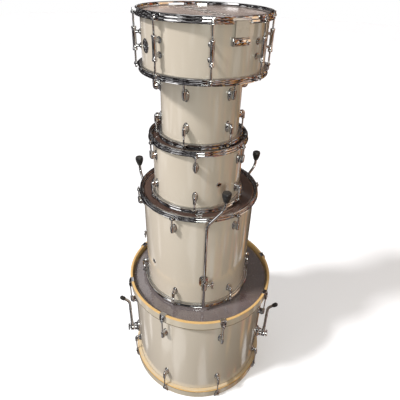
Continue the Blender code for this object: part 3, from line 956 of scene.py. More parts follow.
@dataclass
class DrumHead:
    """A head: film stretched over the bearing edge, and its flesh hoop."""

    drum: Drum
    finishes: Finishes
    end: End
    film: FilmFinish
    collar: float = 0.0020
    hoop_low: float = 0.0070

    def build(self) -> None:
        """Builds the film and the flesh hoop."""
        drum = self.drum
        r, level = drum.radius, -drum.recess
        edge = r - 0.0035
        film = turned([
            (0, level), (edge * 0.5, level), (edge - 0.004, level), (edge, level - 0.0001),
            (r - 0.0006, level - 0.0006), (r + 0.0009, level - 0.0018), (r + self.collar, level - 0.0036),
            (r + self.collar, level - 0.0055), (r + self.collar - 0.0003, level - 0.0055),
            (r + self.collar - 0.0003, level - 0.0037), (r + 0.0006, level - 0.0021),
            (r - 0.0008, level - 0.0009),
            (edge, level - 0.0004), (edge - 0.004, level - 0.00035), (edge * 0.5, level - 0.00035),
            (0, level - 0.00035)])
        self.mount_film(film)

        inner, outer = r + 0.0008, r + 0.0072
        low = level - self.hoop_low
        ring = turned([
            (inner, low), (inner, level - 0.0056), (inner + 0.0018, level - 0.0058),
            (inner + 0.0022, level - 0.0006),
            (outer - 0.0010, level), (outer, level - 0.0008), (outer, low + 0.0008), (outer - 0.0008, low)])
        self.mount_ring(ring, self.finishes.flesh)

    def mount_film(self, film: Thing) -> None:
        """Gives the film its finish and its place."""
        head = self.drum.node(self.end, "head")
        moved(dressed(film, self.film.made(self.finishes.effects)), self.drum.at(self.end))
        fitted(film, f"{head}_film", self.drum.body, [head])

    def mount_ring(self, ring: Thing, finish: bpy.types.Material) -> None:
        """Gives the flesh hoop its finish and its place."""
        moved(dressed(ring, finish), self.drum.at(self.end))
        fitted(ring, self.drum.node(self.end, "flesh_hoop"), self.drum.body)


@dataclass
class BassHead(DrumHead):
    """A bass drum head, whose deep collar reaches a flesh hoop under the wooden hoop."""

    flange: float = 0.0383
    flange_wide: float = 0.0131
    flange_tall: float = 0.0050

    def build(self) -> None:
        """Builds the film and the flesh hoop."""
        drum = self.drum
        r, level = drum.radius, -drum.recess
        edge = r - 0.0035
        film = turned([
            (0, level), (edge * 0.5, level), (edge - 0.006, level), (edge, level - 0.0001),
            (r - 0.0006, level - 0.0006), (r + 0.0010, level - 0.0020), (r + self.collar, level - 0.0050),
            (r + self.collar, -self.flange), (r + self.collar - 0.0004, -self.flange),
            (r + self.collar - 0.0004, level - 0.0052), (r + 0.0006, level - 0.0024),
            (r - 0.0008, level - 0.0010),
            (edge, level - 0.0005), (edge - 0.006, level - 0.00035), (edge * 0.5, level - 0.00035),
            (0, level - 0.00035)], 160)
        self.mount_film(film)
        top, low = -self.flange, -self.flange - self.flange_tall
        ring = turned([
            (r + 0.0008, low), (r + 0.0008, top + 0.0006), (r + 0.0016, top), (r + 0.0030, top),
            (r + 0.0034, top - 0.0016), (r + self.flange_wide - 0.0006, top - 0.0016),
            (r + self.flange_wide, top - 0.0022), (r + self.flange_wide, low + 0.0006),
            (r + self.flange_wide - 0.0006, low)], 160)
        self.mount_ring(ring, self.finishes.warm_flesh)


def key_head(top: float, out: float, finishes: Finishes) -> Thing:
    """A tension rod's square head with its flange, steel washer and nylon washer.

    Args:
        top: The height of the head's top.
        out: How far the rod is from the drum's axis.

    Returns:
        The head, 12 mm tall with its washers.
    """
    square = block((-0.0030, -out - 0.0030, top - 0.0075), (0.0030, -out + 0.0030, top), 0.0006, 3)
    flange = bar((0, -out, top - 0.0088), (0, -out, top - 0.0070), 0.0056, 28, 0.0046, 0.0003)
    washer = bar((0, -out, top - 0.0098), (0, -out, top - 0.0088), 0.0064, 28, soft=0.0002)
    metal = dressed(joined([square, flange, washer]), finishes.chrome)
    nylon = dressed(bar((0, -out, top - 0.0118), (0, -out, top - 0.0099), 0.0058, 28, soft=0.0003),
                    finishes.nylon)
    return joined([metal, nylon])


def threaded_shank(top: float, low: float, out: float, thread: float, finishes: Finishes) -> Thing:
    """A rod's shank, plain above and threaded below.

    Args:
        top: The height of the shank's top.
        low: The height of its low end.
        out: How far it is from the drum's axis.
        thread: The length of the threaded stretch.

    Returns:
        The shank.
    """
    pitch, crest, root = 0.0010, 0.0029, 0.00245
    profile = [(0, top), (0.0027, top), (0.0027, low + thread)]
    turns = int(thread / pitch)
    for turn in range(turns):
        profile.append((root, low + thread - pitch * turn - 0.0002))
        profile.append((crest, low + thread - pitch * (turn + 0.5)))
    profile += [(root, low + thread - pitch * turns), (root - 0.0004, low), (0, low)]
    shank = turned(profile, 14)
    return dressed(moved(shank, Matrix.Translation((0, -out, 0))), finishes.chrome)


@dataclass
class FlangedHoop:
    """A triple-flanged steel hoop with its ears, and the tension rods that pull it down."""

    drum: Drum
    finishes: Finishes
    end: End
    rod_low: float
    rod_out: float = 0.0180
    gates: Sequence[float] = ()

    def build(self) -> None:
        """Builds the hoop and its rods."""
        self.build_hoop()
        self.build_rods()

    def build_hoop(self) -> None:
        """Builds the hoop: rolled rim, upper wall, step over the flesh hoop, lower wall and eared flange."""
        drum, r = self.drum, self.drum.radius
        ring = turned([
            (r + 0.0045, -0.0107), (r + 0.0045, -0.0020), (r + 0.0050, -0.0007), (r + 0.0062, 0),
            (r + 0.0100, 0), (r + 0.0113, -0.0005), (r + 0.0120, -0.0015), (r + 0.0115, -0.0027),
            (r + 0.0104, -0.0028), (r + 0.0092, -0.0024), (r + 0.0078, -0.0026), (r + 0.0069, -0.0036),
            (r + 0.0068, -0.0080), (r + 0.0074, -0.0090), (r + 0.0090, -0.0095), (r + 0.0100, -0.0106),
            (r + 0.0101, -0.0146), (r + 0.0107, -0.0156), (r + 0.0138, -0.0159), (r + 0.0146, -0.0168),
            (r + 0.0138, -0.0177), (r + 0.0092, -0.0177), (r + 0.0080, -0.0168), (r + 0.0078, -0.0109)], 144)
        ear = plate([
            (-0.0125, -r - 0.0120, -0.0177), (-0.0095, -r - 0.0180, -0.0177),
            (-0.0060, -r - 0.0232, -0.0177), (0.0060, -r - 0.0232, -0.0177),
            (0.0095, -r - 0.0180, -0.0177), (0.0125, -r - 0.0120, -0.0177)],
            (0, 0, 0.0019), 0.0004, 0.0030)
        turns = [spun(angle - drum.lug_angle) for angle in drum.angles]
        ring = joined([ring, copies(ear, turns)])
        for angle in self.gates:
            tool = block((-0.027, -r - 0.016, -0.030), (0.027, -r + 0.001, -0.0045), 0.003, 4)
            cut(ring, moved(tool, spun(angle - drum.lug_angle)))
        moved(dressed(ring, self.finishes.chrome), drum.at(self.end, drum.lug_angle))
        name = drum.node(self.end, "hoop")
        fitted(ring, f"{name}_flanged", drum.body, [name])

    def build_rods(self) -> None:
        """Builds one rod and copies it to every lug."""
        drum = self.drum
        out = drum.radius + self.rod_out
        head = key_head(-0.0040, out, self.finishes)
        shank = threaded_shank(-0.0158, self.rod_low, out, 0.014, self.finishes)
        rods = copies(joined([head, shank]), drum.all_round(self.end))
        fitted(rods, drum.node(self.end, "tension_rods"), drum.body)


@dataclass
class OvalLug:
    """A small cast lug: oval foot on a gasket, domed body, and a barrel that holds the swivel nut."""

    drum: Drum
    finishes: Finishes
    end: End
    half_wide: float = 0.0090
    half_tall: float = 0.0175
    depth: float = 0.0240
    rod_out: float = 0.0180
    barrel: float = 0.0058

    def build(self) -> None:
        """Builds one lug and copies it round the shell."""
        drum = self.drum
        r, middle, top = drum.radius, -drum.lug_inset, -drum.lug_inset + self.half_tall
        foot = self.oval(r + 0.0008, r + 0.0032, 1.0, 0.90)
        body = self.oval(r + 0.0020, r + self.depth * 0.62, 0.80, 0.46)
        rise = ball((0, -r - self.depth * 0.52, middle - self.half_tall * 0.10),
                    (self.half_wide * 0.66, self.depth * 0.44, self.half_tall * 0.62))
        out = r + self.rod_out
        sleeve = bar((0, -out, top), (0, -out, middle - 0.0010), self.barrel, 40, self.barrel * 0.94)
        tail = ball((0, -out, middle - 0.0010), (self.barrel * 0.94, self.barrel * 0.94, self.barrel * 1.5))
        neck = block((-0.0040, -out, middle - 0.004), (0.0040, -r - 0.002, top - 0.004))
        shape = cast([foot, body, rise, sleeve, tail, neck], 0.00062, 5)
        cut(shape, bar((0, -out, top + 0.01), (0, -out, top - 0.0035), 0.0040, 24))
        dressed(shape, self.finishes.chrome)
        nut = turned([(0.0029, 0), (0.0039, 0), (0.0039, 0.0030), (0.0034, 0.0034), (0.0029, 0.0034)], 24)
        dressed(moved(nut, Matrix.Translation((0, -out, top - 0.0034))), self.finishes.steel)
        gasket = dressed(self.oval(r + 0.0001, r + 0.0009, 1.04, 1.04), self.finishes.nylon)
        lugs = copies(joined([shape, nut, gasket]), drum.all_round(self.end))
        fitted(lugs, drum.node(self.end, "lugs"), drum.body)

    def oval(self, start: float, end: float, wide: float, narrow: float) -> Thing:
        """An oval disc from one distance out to another, narrowing from wide to narrow shares of the foot."""
        middle = -self.drum.lug_inset
        disc = bar((0, -start, 0), (0, -end, 0), wide, 48, narrow)
        scale = Matrix.Diagonal((self.half_wide, 1, self.half_tall, 1))
        return moved(disc, Matrix.Translation((0, 0, middle)) @ scale)


# -------------------- bass drum


@dataclass
class WoodenHoop:
    """A bass drum hoop: maple with a wrapped outer face, its claws and their rods."""

    drum: Drum
    finishes: Finishes
    end: End
    maple: WoodFinish
    outside: float = 0.0160
    thick: float = 0.0095
    wide: float = 0.0380
    rod_out: float = 0.0211
    claw_half: float = 0.0120
    claw_low: float = 0.0360

    def build(self) -> None:
        """Builds the hoop, its inlay, a near-black band of painted shadow along the edge that meets the
        shell, its claws and rods.
        """
        drum = self.drum
        outer = drum.radius + self.outside
        inner = outer - self.thick
        name = drum.node(self.end, "hoop")
        ring = turned([
            (inner, -self.wide), (inner, 0), (outer - 0.0003, 0), (outer - 0.0003, -self.wide)], 160, 0.0012)
        moved(dressed(ring, self.maple.made(self.finishes.effects)), drum.at(self.end, drum.lug_angle))
        fitted(ring, f"{name}_maple", drum.body, [name])
        # The second band is a thin near-black strip at the edge facing the drum's middle: painted shadow
        # where the hoop meets the shell.
        bands = (("inlay", self.finishes.inlay, outer, 0.0030, self.wide - 0.0030),
                 ("pinstripe", self.finishes.pinstripe, outer + 0.0001, 0.0008, 0.0029))
        for part, finish, face, low, high in bands:
            band = sleeve(outer - 0.0006, face, low - self.wide, high - self.wide, 192)
            moved(dressed(band, finish), drum.at(self.end, drum.lug_angle))
            fitted(band, f"{name}_{part}", drum.body)
        self.build_claws(name)
        self.build_rods(name)

    def build_claws(self, name: str) -> None:
        """A claw: lip over the hoop, back plate that narrows downwards, two ribs and the rod's shelf."""
        drum = self.drum
        outer, front = drum.radius + self.outside, drum.radius + self.rod_out
        inner = outer - self.thick
        w, low = self.claw_half, -self.claw_low
        lip = block((-w, -outer - 0.0015, 0.0001), (w, -inner + 0.0022, 0.0020), 0.0006)
        hook = block((-w, -inner + 0.0001, -0.0042), (w, -inner + 0.0026, 0.0019), 0.0006)
        back = plate([
            (-w, -outer - 0.0004, 0.0019), (-w, -outer - 0.0004, -0.0120), (-0.0055, -outer - 0.0004, low),
            (0.0055, -outer - 0.0004, low), (w, -outer - 0.0004, -0.0120), (w, -outer - 0.0004, 0.0019)],
            (0, -0.0020, 0))
        parts = [lip, hook, back]
        for side in (-1, 1):
            rib = plate([
                (side * w, -outer - 0.0004, 0.0018), (side * (w - 0.0006), -outer - 0.0035, 0.0014),
                (side * (w - 0.0024), -front - 0.0038, -0.0110),
                (side * 0.0050, -front - 0.0042, low + 0.003), (side * 0.0050, -outer - 0.0004, low)],
                (-side * 0.0024, 0, 0))
            parts.append(rib)
        parts.append(bar((0, -front, -0.0240), (0, -front, low), 0.0052, 32, 0.0045))
        parts.append(block((-0.0046, -front, -0.0330), (0.0046, -outer - 0.0006, -0.0240)))
        claw = cast(parts, 0.00060, 4)
        cut(claw, bar((0, -front, -0.0130), (0, -front, -0.0242), 0.0058, 28))
        claws = copies(dressed(claw, self.finishes.chrome), drum.all_round(self.end))
        fitted(claws, f"{name}_claws", drum.body)

    def build_rods(self, name: str) -> None:
        """The key rods that pull the claws towards the lugs."""
        drum = self.drum
        out = drum.radius + self.rod_out
        head = key_head(-0.0122, out, self.finishes)
        shank = threaded_shank(-0.0238, -(drum.lug_inset - 0.021), out, 0.009, self.finishes)
        rods = copies(joined([head, shank]), drum.all_round(self.end))
        fitted(rods, f"{name}_key_rods", drum.body)


def wing_bolt(axis_start: float, hub: float, hub_length: float, span: float, thick: float) -> Thing:
    """A wing bolt along -Y: a hub with two rounded wings along X.

    Args:
        axis_start: How far out the hub starts.
        hub: The hub's radius.
        hub_length: The hub's length.
        span: Half the width over the wings.
        thick: Half a wing's thickness.

    Returns:
        The bolt's head.
    """
    end = axis_start + hub_length
    parts = [bar((0, -axis_start, 0), (0, -end + 0.002, 0), hub, 32, hub * 0.86),
             ball((0, -end + 0.002, 0), (hub * 0.86, 0.0020, hub * 0.86))]
    for side in (-1, 1):
        reach = side * (span - 0.0052)
        parts.append(ball((reach, -axis_start - hub_length * 0.66, 0), (0.0052, hub_length * 0.34, thick)))
        parts.append(ball((reach * 0.66, -axis_start - hub_length * 0.56, 0),
                          (0.0062, hub_length * 0.26, thick * 0.92)))
    return cast(parts, 0.0006, 5)


@dataclass
class Spur:
    """A folding spur: serrated bracket, bent leg with its disc, rubber tip and wing bolt."""

    drum: Drum
    finishes: Finishes
    side: str
    angle: float
    height: float = 0.1630
    boss: float = 0.0225
    leg_out: float = 0.0320
    leg_radius: float = 0.0060
    reach: float = 0.1700
    bolt_hole: float = 0.0043

    def build(self) -> None:
        """Builds the spur's pieces."""
        self.place = self.drum.beside(self.angle, self.height)
        self.build_bracket()
        self.build_leg()
        self.build_bolt()

    def teeth(self, start: float, radius: float) -> Thing:
        """A ring of radial teeth that locks the spur's angle."""
        tooth = block((-0.00055, -start - 0.0008, radius - 0.0055), (0.00055, -start, radius), 0.0002, 1)
        turns = [Matrix.Rotation(math.tau * index / 36, 4, "Y") for index in range(36)]
        return copies(tooth, turns)

    def build_bracket(self) -> None:
        """The cast bracket on the shell, its ring of teeth and its two screws."""
        r = self.drum.radius
        foot = foot_plate(self.drum, 0.0190, 0.0140, 0.0110, 0.0300, 0.0075, 0.006)
        hill = bar((0, -r - 0.0040, 0), (0, -r - 0.0140, 0), 0.0240, 48, 0.0165)
        boss = bar((0, -r - 0.0080, 0), (0, -r - self.boss + 0.0010, 0), 0.0170, 48)
        bracket = cast([foot, hill, boss], 0.0008, 6)
        cut(bracket, bar((0, 0, 0), (0, -r + 0.0003, 0), 0.2, 4))
        cut(bracket, bar((0, -r - 0.004, 0), (0, -r - 0.04, 0), self.bolt_hole, 24))
        cut(bracket, shell_tool(self.drum))
        parts = [bracket, self.teeth(r + self.boss - 0.0011, 0.0160)]
        for level in (-0.0240, 0.0240):
            parts.append(self.screw(level))
        moved(dressed(joined(parts), self.finishes.chrome), self.place)
        fitted(bracket, f"{self.side}_spur_cast_bracket", self.drum.body,
               [f"{self.side}_spur_bracket"])

    def screw(self, level: float) -> Thing:
        """A domed screw head with a cross slot."""
        r = self.drum.radius
        head = ball((0, -r - 0.0062, level), (0.0042, 0.0022, 0.0042), 24)
        for wide, tall in ((0.0024, 0.0005), (0.0005, 0.0024)):
            cut(head, block((-wide, -r - 0.0100, level - tall), (wide, -r - 0.0072, level + tall)))
        return head

    def build_leg(self) -> None:
        """The leg with its serrated disc, and the rubber tip."""
        r = self.drum.radius
        outer = r + self.leg_out
        start = r + self.boss + GAP
        bend = Vector((0, -outer, self.reach))
        tip_way = Vector((0, -1, 1)).normalized()
        end = bend + tip_way * 0.028
        disc = bar((0, -start - 0.0008, 0), (0, -outer - 0.0070, 0), 0.0160, 64, soft=0.0012)
        collar = bar((0, -outer, 0.010), (0, -outer, 0.030), 0.0086, 40, 0.0070, 0.0006)
        rod = tube(rounded([(0, -outer, 0.004), bend, end], 0.016), self.leg_radius, 32)
        rings = [sleeve(self.leg_radius - 0.0005, self.leg_radius + 0.0009, level, level + 0.0022, 40, 0.0004)
                 for level in (0.0400, 0.1180)]
        rings = [moved(ring, Matrix.Translation((0, -outer, 0))) for ring in rings]
        cut(disc, bar((0, -r, 0), (0, -outer - 0.02, 0), self.bolt_hole, 24))
        leg = joined([disc, collar, rod, *rings, self.teeth(start + 0.0008, 0.0158)])
        moved(dressed(leg, self.finishes.chrome), self.place)
        fitted(leg, f"{self.side}_spur_bent_leg", f"{self.side}_spur",
               [f"{self.side}_spur_leg"])

        profile = [(0, 0), (0.0072, 0), (0.0078, 0.0010), (0.0086, 0.0030)]
        for ridge in range(3):
            level = 0.0045 + 0.0042 * ridge
            profile += [(0.0090, level), (0.0090, level + 0.0022), (0.0081, level + 0.0028)]
        profile += [(0.0080, 0.0178), (0.0056, 0.0214), (0, 0.0220)]
        tip = turned(profile, 48)
        aim = tip_way.to_track_quat("Z", "Y").to_matrix().to_4x4()
        moved(dressed(tip, self.finishes.rubber), self.place @ Matrix.Translation(end + tip_way * GAP) @ aim)
        fitted(tip, f"{self.side}_spur_rubber_tip", f"{self.side}_spur",
               [f"{self.side}_spur_tip"])

    def build_bolt(self) -> None:
        """The wing bolt that locks the spur, with its washer."""
        r = self.drum.radius
        face = r + self.leg_out + 0.0070 + GAP
        wings = wing_bolt(face, 0.0080, 0.0120, 0.0190, 0.0032)
        washer = bar((0, -face, 0), (0, -face - 0.0012, 0), 0.0094, 40, soft=0.0003)
        shank = bar((0, -r - 0.006, 0), (0, -face - 0.004, 0), 0.0035, 20)
        bolt = moved(dressed(joined([wings, washer, shank]), self.finishes.chrome), self.place)
        fitted(bolt, f"{self.side}_spur_wing_bolt", f"{self.side}_spur_wing_bolt",
               [f"{self.side}_spur_bolt"])


# -------------------- floor tom legs


@dataclass
class FloorLeg:
    """A floor tom leg, upside down in its bracket, with its rubber foot in the air."""

    drum: Drum
    finishes: Finishes
    index: int
    angle: float
    bend_angle: float
    bend_height: float
    out: float = 0.0248
    radius: float = 0.0053
    bracket_height: float = 0.1350
    low_end: float = 0.5000
    side_step: float = 0.0595
    rise: float = 0.0564
    foot_start: float = 0.0270

    def build(self) -> None:
        """Builds the bracket, bolt, leg and foot."""
        self.place = self.drum.beside(self.angle, self.bracket_height)
        self.build_bracket()
        self.build_bolt()
        self.build_leg()

    def build_bracket(self) -> None:
        """The cast bracket: foot plate, neck and the sleeve that holds the leg."""
        r = self.drum.radius
        centre = r + self.out
        foot = foot_plate(self.drum, 0.0160, 0.0170, 0.0090, 0.0270, 0.0045, 0.005)
        neck = block((-0.0080, -centre, -0.0150), (0.0080, -r, 0.0150), 0.003)
        sleeve = bar((0, -centre, -0.0190), (0, -centre, 0.0190), 0.0100, 48, soft=0.0012)
        side = bar((0, -centre, 0), (0.0108, -centre, 0), 0.0085, 40, 0.0075)
        bracket = cast([foot, neck, sleeve, side], 0.0007, 5)
        cut(bracket, bar((0, -centre, -0.03), (0, -centre, 0.03), self.radius + 0.0006, 32))
        cut(bracket, bar((0.001, -centre, 0), (0.02, -centre, 0), 0.0042, 24))
        cut(bracket, shell_tool(self.drum))
        screws = []
        for level in (-0.0215, 0.0215):
            head = ball((0, -r - 0.0034, level), (0.0036, 0.0020, 0.0036), 24)
            screws.append(cut(head, block((-0.0022, -r - 0.0080, level - 0.0004),
                                          (0.0022, -r - 0.0044, level + 0.0004))))
        moved(dressed(joined([bracket, *screws]), self.finishes.chrome), self.place)
        fitted(bracket, f"floor_tom_cast_bracket_{self.index}", self.drum.body,
               [f"floor_tom_bracket_{self.index}"])

    def build_bolt(self) -> None:
        """The wing screw that clamps the leg, along X."""
        centre = self.drum.radius + self.out
        wings = wing_bolt(0.0225, 0.0058, 0.0125, 0.0190, 0.0032)
        aside = spun(90) @ spun(90, "Y")
        moved(wings, aside)
        shank = bar((self.radius + 0.0007, 0, 0), (0.0240, 0, 0), 0.0035, 20)
        washer = bar((0.0128, 0, 0), (0.0150, 0, 0), 0.0062, 28, soft=0.0004)
        bolt = dressed(joined([wings, shank, washer]), self.finishes.chrome)
        moved(bolt, self.place @ Matrix.Translation((0, -centre, 0)))
        fitted(bolt, f"floor_tom_wing_screw_{self.index}", f"floor_leg_{self.index}_wing_bolt",
               [f"floor_tom_bolt_{self.index}"])

    def build_leg(self) -> None:
        """The bent leg and its ribbed foot."""
        turn = math.radians(self.angle)
        out = self.drum.radius + self.out
        middle = self.drum.centre
        x, y = middle.x + out * math.sin(turn), middle.y - out * math.cos(turn)
        aim = math.radians(self.bend_angle)
        step = Vector((math.sin(aim), -math.cos(aim), 0)) * self.side_step
        low, first = Vector((x, y, self.low_end)), Vector((x, y, self.bend_height))
        second = first + step + Vector((0, 0, self.rise))
        top = second + Vector((0, 0, self.foot_start + 0.018))
        rod = tube(rounded([low, first, second, top], 0.020, 12), self.radius, 32)
        soften(rod, 0.0008)
        dressed(rod, self.finishes.chrome)
        fitted(rod, f"floor_tom_bent_leg_{self.index}", f"floor_leg_{self.index}",
               [f"floor_tom_leg_{self.index}"])

        socket = self.radius + 0.0004
        profile = [(socket, 0), (0.0078, 0), (0.0085, 0.0008)]
        for ridge in range(4):
            level, width = 0.0030 + 0.0050 * ridge, 0.0092 + 0.0015 * ridge
            profile += [(width, level), (width + 0.0010, level + 0.0012), (width + 0.0010, level + 0.0028),
                        (width - 0.0004, level + 0.0040)]
        profile += [(0.0152, 0.0245), (0.0155, 0.0262), (0.0150, 0.0310), (0.0136, 0.0346), (0.0100, 0.0366),
                    (0.0060, 0.0370), (0, 0.0370), (0, 0.0195), (socket, 0.0195)]
        foot = turned(profile, 56)
        moved(dressed(foot, self.finishes.rubber),
              Matrix.Translation(second + Vector((0, 0, self.foot_start))))
        fitted(foot, f"floor_tom_rubber_foot_{self.index}", f"floor_leg_{self.index}",
               [f"floor_tom_foot_{self.index}"])


# -------------------- snare drum


@dataclass
class TubeLugs:
    """The snare's tube lugs: a tube with end collars on two turned posts."""

    drum: Drum
    finishes: Finishes
    length: float = 0.0620
    out: float = 0.0180
    radius: float = 0.0064

    def build(self) -> None:
        """Builds one lug and copies it to each angle."""
        r, half = self.drum.radius, self.length / 2
        centre = r + self.out
        profile = [(0.0031, -half), (0.0066, -half), (0.0070, -half + 0.0008), (0.0070, -half + 0.0052),
                   (self.radius, -half + 0.0062), (0.0058, -half + 0.0120), (0.0058, half - 0.0120),
                   (self.radius, half - 0.0062), (0.0070, half - 0.0052), (0.0070, half - 0.0008),
                   (0.0066, half), (0.0031, half)]
        pipe = moved(turned(profile, 40), Matrix.Translation((0, -centre, 0)))
        parts = [pipe]
        for level in (-0.018, 0.018):
            post = turned([(0, 0.0003), (0.0080, 0.0003), (0.0080, 0.0016), (0.0068, 0.0026),
                           (0.0046, 0.0042), (0.0042, 0.0080), (0.0050, self.out - 0.002),
                           (0, self.out - 0.002)], 36)
            aim = Matrix.Translation((0, -r, level)) @ spun(90, "X")
            parts.append(moved(post, aim))
        lug = dressed(joined(parts), self.finishes.chrome)
        gaskets = []
        for level in (-0.018, 0.018):
            gasket = bar((0, -r, level), (0, -r - 0.0007, level), 0.0086, 32)
            gaskets.append(dressed(gasket, self.finishes.nylon))
        lug = joined([lug, *gaskets])
        height = self.drum.height / 2
        lugs = copies(lug, [self.drum.beside(angle, height) for angle in self.drum.angles])
        names = [f"snare_lug_{index + 1}" for index in range(self.drum.lugs)]
        fitted(lugs, "snare_tube_lugs", self.drum.body, names)


@dataclass
class SnareWires:
    """Twenty coiled strands between two soldered clips, and the straps that hold them."""

    drum: Drum
    finishes: Finishes
    angle: float
    strands: int = 20
    half_length: float = 0.1500
    half_width: float = 0.0192
    coil: float = 0.00085
    wire: float = 0.00024
    pitch: float = 0.0024
    strap_half: float = 0.0190
    strap_thick: float = 0.0006

    def build(self) -> None:
        """Builds the strands and clips."""
        drum = self.drum
        level = drum.height - drum.recess + GAP
        start, end = -self.half_length + 0.008, self.half_length - 0.008
        per_turn = 6
        count = int((end - start) / self.pitch) * per_turn
        curve = bpy.data.curves.new("snare_strand", "CURVE")
        curve.dimensions = "3D"
        curve.bevel_depth = self.wire
        curve.bevel_resolution = 0
        spline = curve.splines.new("POLY")
        spline.points.add(count)
        for index, point in enumerate(spline.points):
            turn = math.tau * index / per_turn
            along = start + (end - start) * index / count
            point.co = (self.coil * math.cos(turn), along, self.coil * math.sin(turn), 1)
        strand = bpy.data.objects.new("snare_strand", curve)
        bpy.context.scene.collection.objects.link(strand)
        only(strand)
        bpy.ops.object.convert(target="MESH")
        strand = bpy.context.object
        gap = 2 * (self.half_width - self.coil) / (self.strands - 1)
        height = level + self.coil + self.wire
        places = [drum.beside(self.angle, height) @ Matrix.Translation(
            (-self.half_width + self.coil + gap * index, 0, 0)) for index in range(self.strands)]
        band = dressed(copies(strand, places), self.finishes.steel)
        fitted(band, "snare_wire_strands", drum.body, ["snare_wires"])
        self.build_clips(level)

    def build_clips(self, level: float) -> None:
        """The two end clips with their strap slots."""
        places = [self.drum.beside(self.angle, level), self.drum.beside(self.angle + 180, level)]
        clip = block((-0.0220, -self.half_length, 0.0), (0.0220, -self.half_length + 0.012, 0.0026), 0.0006)
        cut(clip, block((-0.0200, -self.half_length + 0.0020, 0.0015),
                        (0.0200, -self.half_length + 0.0050, 0.004)))
        for side in (-1, 1):
            cut(clip, bar((side * 0.0150, -self.half_length + 0.0086, -0.001),
                          (side * 0.0150, -self.half_length + 0.0086, 0.004), 0.0012, 20))
        clips = copies(dressed(clip, self.finishes.steel), places)
        fitted(clips, "snare_wire_clips", self.drum.body)

    def build_strap(self, name: str, angle: float, low_end: float) -> None:
        """A strap from the clip, through the gate and down outside the shell.

        Args:
            name: The frame's node for this strap.
            angle: Its angle.
            low_end: The height of its low end above the drum's foot.
        """
        r = self.drum.radius
        level = self.drum.height - self.drum.recess + GAP
        out, thick = r + 0.0084, self.strap_thick
        outline = [(-self.strap_half, -self.half_length - GAP, level), (-self.strap_half, -out, level)]
        path = rounded([*outline, (-self.strap_half, -out, low_end)], 0.003, 8)
        line = drawn(path, closed=False)
        edit(line)
        bpy.ops.mesh.extrude_region_move(TRANSFORM_OT_translate={"value": (2 * self.strap_half, 0, 0)})
        bpy.ops.mesh.select_all(action="SELECT")
        bpy.ops.mesh.normals_make_consistent(inside=False)
        close_edit()
        apply(line, "SOLIDIFY", thickness=thick, offset=0.0)
        moved(dressed(line, self.finishes.strap), self.drum.beside(angle, 0))
        fitted(line, f"{name}_band", self.drum.body, [name])


@dataclass
class ButtPlate:
    """The bar that clamps the fixed strap, with its two screws."""

    drum: Drum
    finishes: Finishes
    angle: float
    half: float = 0.0250
    rise: float = 0.0230

    def build(self) -> None:
        """Builds the butt plate."""
        r = self.drum.radius
        base = block((-self.half, -r - 0.0084, -0.0100), (self.half, -r + 0.0020, 0.0100), 0.0016, 3)
        jaw = plate([
            (-self.half + 0.0020, -r - 0.0092, -0.0085), (-self.half + 0.0020, -r - 0.0125, -0.0065),
            (-self.half + 0.0020, -r - 0.0135, 0), (-self.half + 0.0020, -r - 0.0125, 0.0065),
            (-self.half + 0.0020, -r - 0.0092, 0.0085)], (2 * self.half - 0.0040, 0, 0), 0.0008, 0.0012)
        cut(base, shell_tool(self.drum))
        parts = [base, jaw]
        for x in (-0.0140, 0.0140):
            head = bar((x, -r - 0.0120, 0), (x, -r - 0.0139, 0), 0.0044, 28, soft=0.0005)
            for wide, tall in ((0.0026, 0.0005), (0.0005, 0.0026)):
                cut(head, block((x - wide, -r - 0.0170, -tall), (x + wide, -r - 0.0131, tall)))
            parts.append(head)
        piece = dressed(joined(parts), self.finishes.chrome)
        moved(piece, self.drum.beside(self.angle, self.drum.height / 2 + self.rise))
        fitted(piece, "butt_plate_clamp", self.drum.body, ["butt_plate"])


